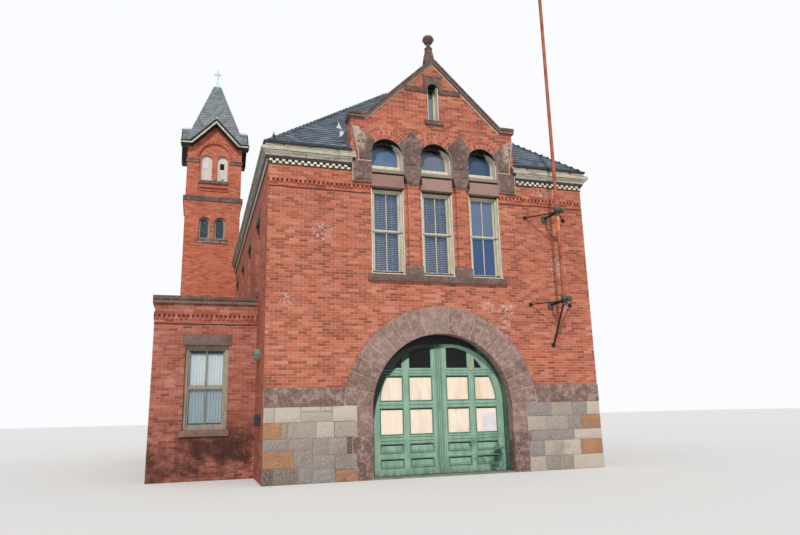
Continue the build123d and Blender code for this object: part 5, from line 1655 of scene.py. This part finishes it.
# Curtains in the wing's front window, hung on a rod between the reveals
curtains = {"rod": 2.95, "rodEnds": (-5.83, -4.82), "rodRadius": 0.009, "y": 2.16, "low": 1.30, "hang": 0.012,
            "panels": ((-5.735, -5.34), (-5.33, -4.935)), "folds": 6, "deep": 0.014, "cells": (96, 16)}


def buildCurtains():
    rod, radius, y = Yard(35), curtains["rodRadius"], curtains["y"]
    turns = [2 * math.pi * n / 12 for n in range(12)]
    rod.sweep([[(x, y + radius * math.cos(t), curtains["rod"] + radius * math.sin(t)) for t in turns]
               for x in curtains["rodEnds"]])
    rod.build("curtainRod", "iron", "iron")
    columns, rows = curtains["cells"]
    length = curtains["rod"] - curtains["hang"] - curtains["low"]
    for count, (x0, x1) in enumerate(curtains["panels"]):
        points = []
        for j in range(rows + 1):
            for i in range(columns + 1):
                u, v = i / columns, j / rows
                swing = math.sin(2 * math.pi * curtains["folds"] * u + 0.5 * math.sin(3 * v + count))
                drift = 0.01 * noise.noise(Vector((u * 4, v * 2, count * 9.0)))
                deep = curtains["deep"] * (0.55 + 0.45 * (1 - v))
                points.append((x0 + (x1 - x0) * u + drift * (1 - v), y + deep * swing + 0.4 * drift,
                               curtains["low"] + length * v))
        mesh = bpy.data.meshes.new("curtain")
        mesh.from_pydata(points, [], gridFaces(columns, rows))
        mesh.shade_smooth()
        mesh.materials.append(finishes["curtainCloth"])
        piece = link("wingCurtain" + "LR"[count], mesh)
        enrol(piece)


# A small green lamp box and a dark meter box on the main block's left side
sideBoxes = {"lamp": ((0.92, 2.70), (1.12, 2.70), (1.14, 2.84), (1.10, 2.95), (0.94, 2.95), (0.90, 2.84)),
             "meter": ((0.50, 1.21), (0.76, 1.21), (0.76, 1.42), (0.70, 1.46), (0.56, 1.46), (0.50, 1.42))}


def buildSideBoxes():
    for seed, kind, out, name, finish in ((36, "lamp", -4.30, "sideLampBox", "boxGreen"),
                                          (37, "meter", -4.29, "sideMeterBox", "lead")):
        box = Yard(seed)
        box.slab(sideBoxes[kind], out, -4.166, "x")
        box.build(name, finish, "iron", bevel=0.008)


# Cast collars round the mast, and the broad plates of its brackets
mastCastings = {"heights": (4.02, 6.30), "mast": (2.995, -0.665), "boss": (3.145, -0.665, 0.058), "bossRadius": 0.074,
                "collar": ((0.046, -0.105), (0.062, -0.10), (0.070, -0.062), (0.073, 0.062), (0.078, 0.075),
                           (0.079, 0.10), (0.076, 0.13), (0.062, 0.15), (0.046, 0.155)),
                "plate": ((2.925, -0.09), (3.065, -0.09), (3.065, 0.05), (3.035, 0.085), (2.955, 0.085),
                          (2.925, 0.05)), "plateFaces": (-0.058, 0.004)}


def buildMastCastings():
    yard, radius, (x, y, lift) = Yard(47), mastCastings["bossRadius"], mastCastings["boss"]
    turns = [math.pi * (n + 0.3) / 8 for n in range(8)]
    for z in mastCastings["heights"]:
        yard.lathe((*mastCastings["mast"], z), mastCastings["collar"], 20)
        yard.lathe((x, y, z + lift), [(radius * math.sin(t), -radius * math.cos(t)) for t in turns], 14)
        yard.slab([(a, z + b) for a, b in mastCastings["plate"]], *mastCastings["plateFaces"])
    yard.build("mastCastings", "castIron", "iron", bevel=0.006)


for build in (buildArch, buildBase, buildWindowStones, buildLinings, buildBrickTrim, buildBlinds, buildEaves,
              buildCaps, buildCopings, buildWallStones, buildTowerTrim, buildDoorTrim, buildCurtains,
              buildSideBoxes, buildMastCastings):
    build()


# Stage: plain pale floor and soft light
stage = {"floorSize": 160.0, "floorTop": -0.002, "floorColour": (222, 222, 220),
         "sky": (0.93, 0.96, 1.0, 1), "skyStrength": 0.62, "backdrop": (0.96, 0.975, 1.0, 1),
         "sunEnergy": 2.3, "sunAngle": 2.5, "sunColour": (1.0, 0.975, 0.94), "sunSide": 17, "sunHeight": 40}


def makeStage():
    size = stage["floorSize"]
    mesh = bpy.data.meshes.new("stageFloor")
    mesh.from_pydata([(x, y, stage["floorTop"]) for x, y in corners(-size, size, -size, size)], [], [(0, 1, 2, 3)])
    recipe = Recipe(roughness=0.95, baseColor=tint(stage["floorColour"]), specularIORLevel=0.1)
    recipe.material.name = "stagePale"
    mesh.materials.append(recipe.material)
    link("stageFloor", mesh)
    world = bpy.data.worlds.new("stageSky")
    world.use_nodes = True
    bpy.context.scene.world = world
    world.node_tree.nodes.clear()
    sky = Wiring(world.node_tree)
    seen, glossy, through = (sky.node("ShaderNodeLightPath", out="Is " + kind + " Ray")
                             for kind in ("Camera", "Glossy", "Transmission"))
    soft, backdrop = (sky.node("ShaderNodeBackground", sockets={"Color": colour, "Strength": strength})
                      for colour, strength in ((stage["sky"], stage["skyStrength"]), (stage["backdrop"], 1.0)))
    mixed = sky.node("ShaderNodeMixShader", sockets={0: seen.most(glossy.most(through)), 1: soft, 2: backdrop})
    sky.plug(sky.tree.nodes.new("ShaderNodeOutputWorld").inputs[0], mixed)
    lamp = bpy.data.lights.new("softSun", "SUN")
    lamp.energy, lamp.angle, lamp.color = stage["sunEnergy"], math.radians(stage["sunAngle"]), stage["sunColour"]
    sun = link("softSun", lamp)
    side, height = math.radians(stage["sunSide"]), math.radians(stage["sunHeight"])
    toSun = Vector((-math.sin(side) * math.cos(height), -math.cos(side) * math.cos(height), math.sin(height)))
    sun.rotation_mode = "QUATERNION"
    sun.rotation_quaternion = toSun.to_track_quat("Z", "Y")
    print("stage, sky and sun made")


makeCamera()
makeStage()
bpy.context.scene.view_settings.view_transform = "Standard"
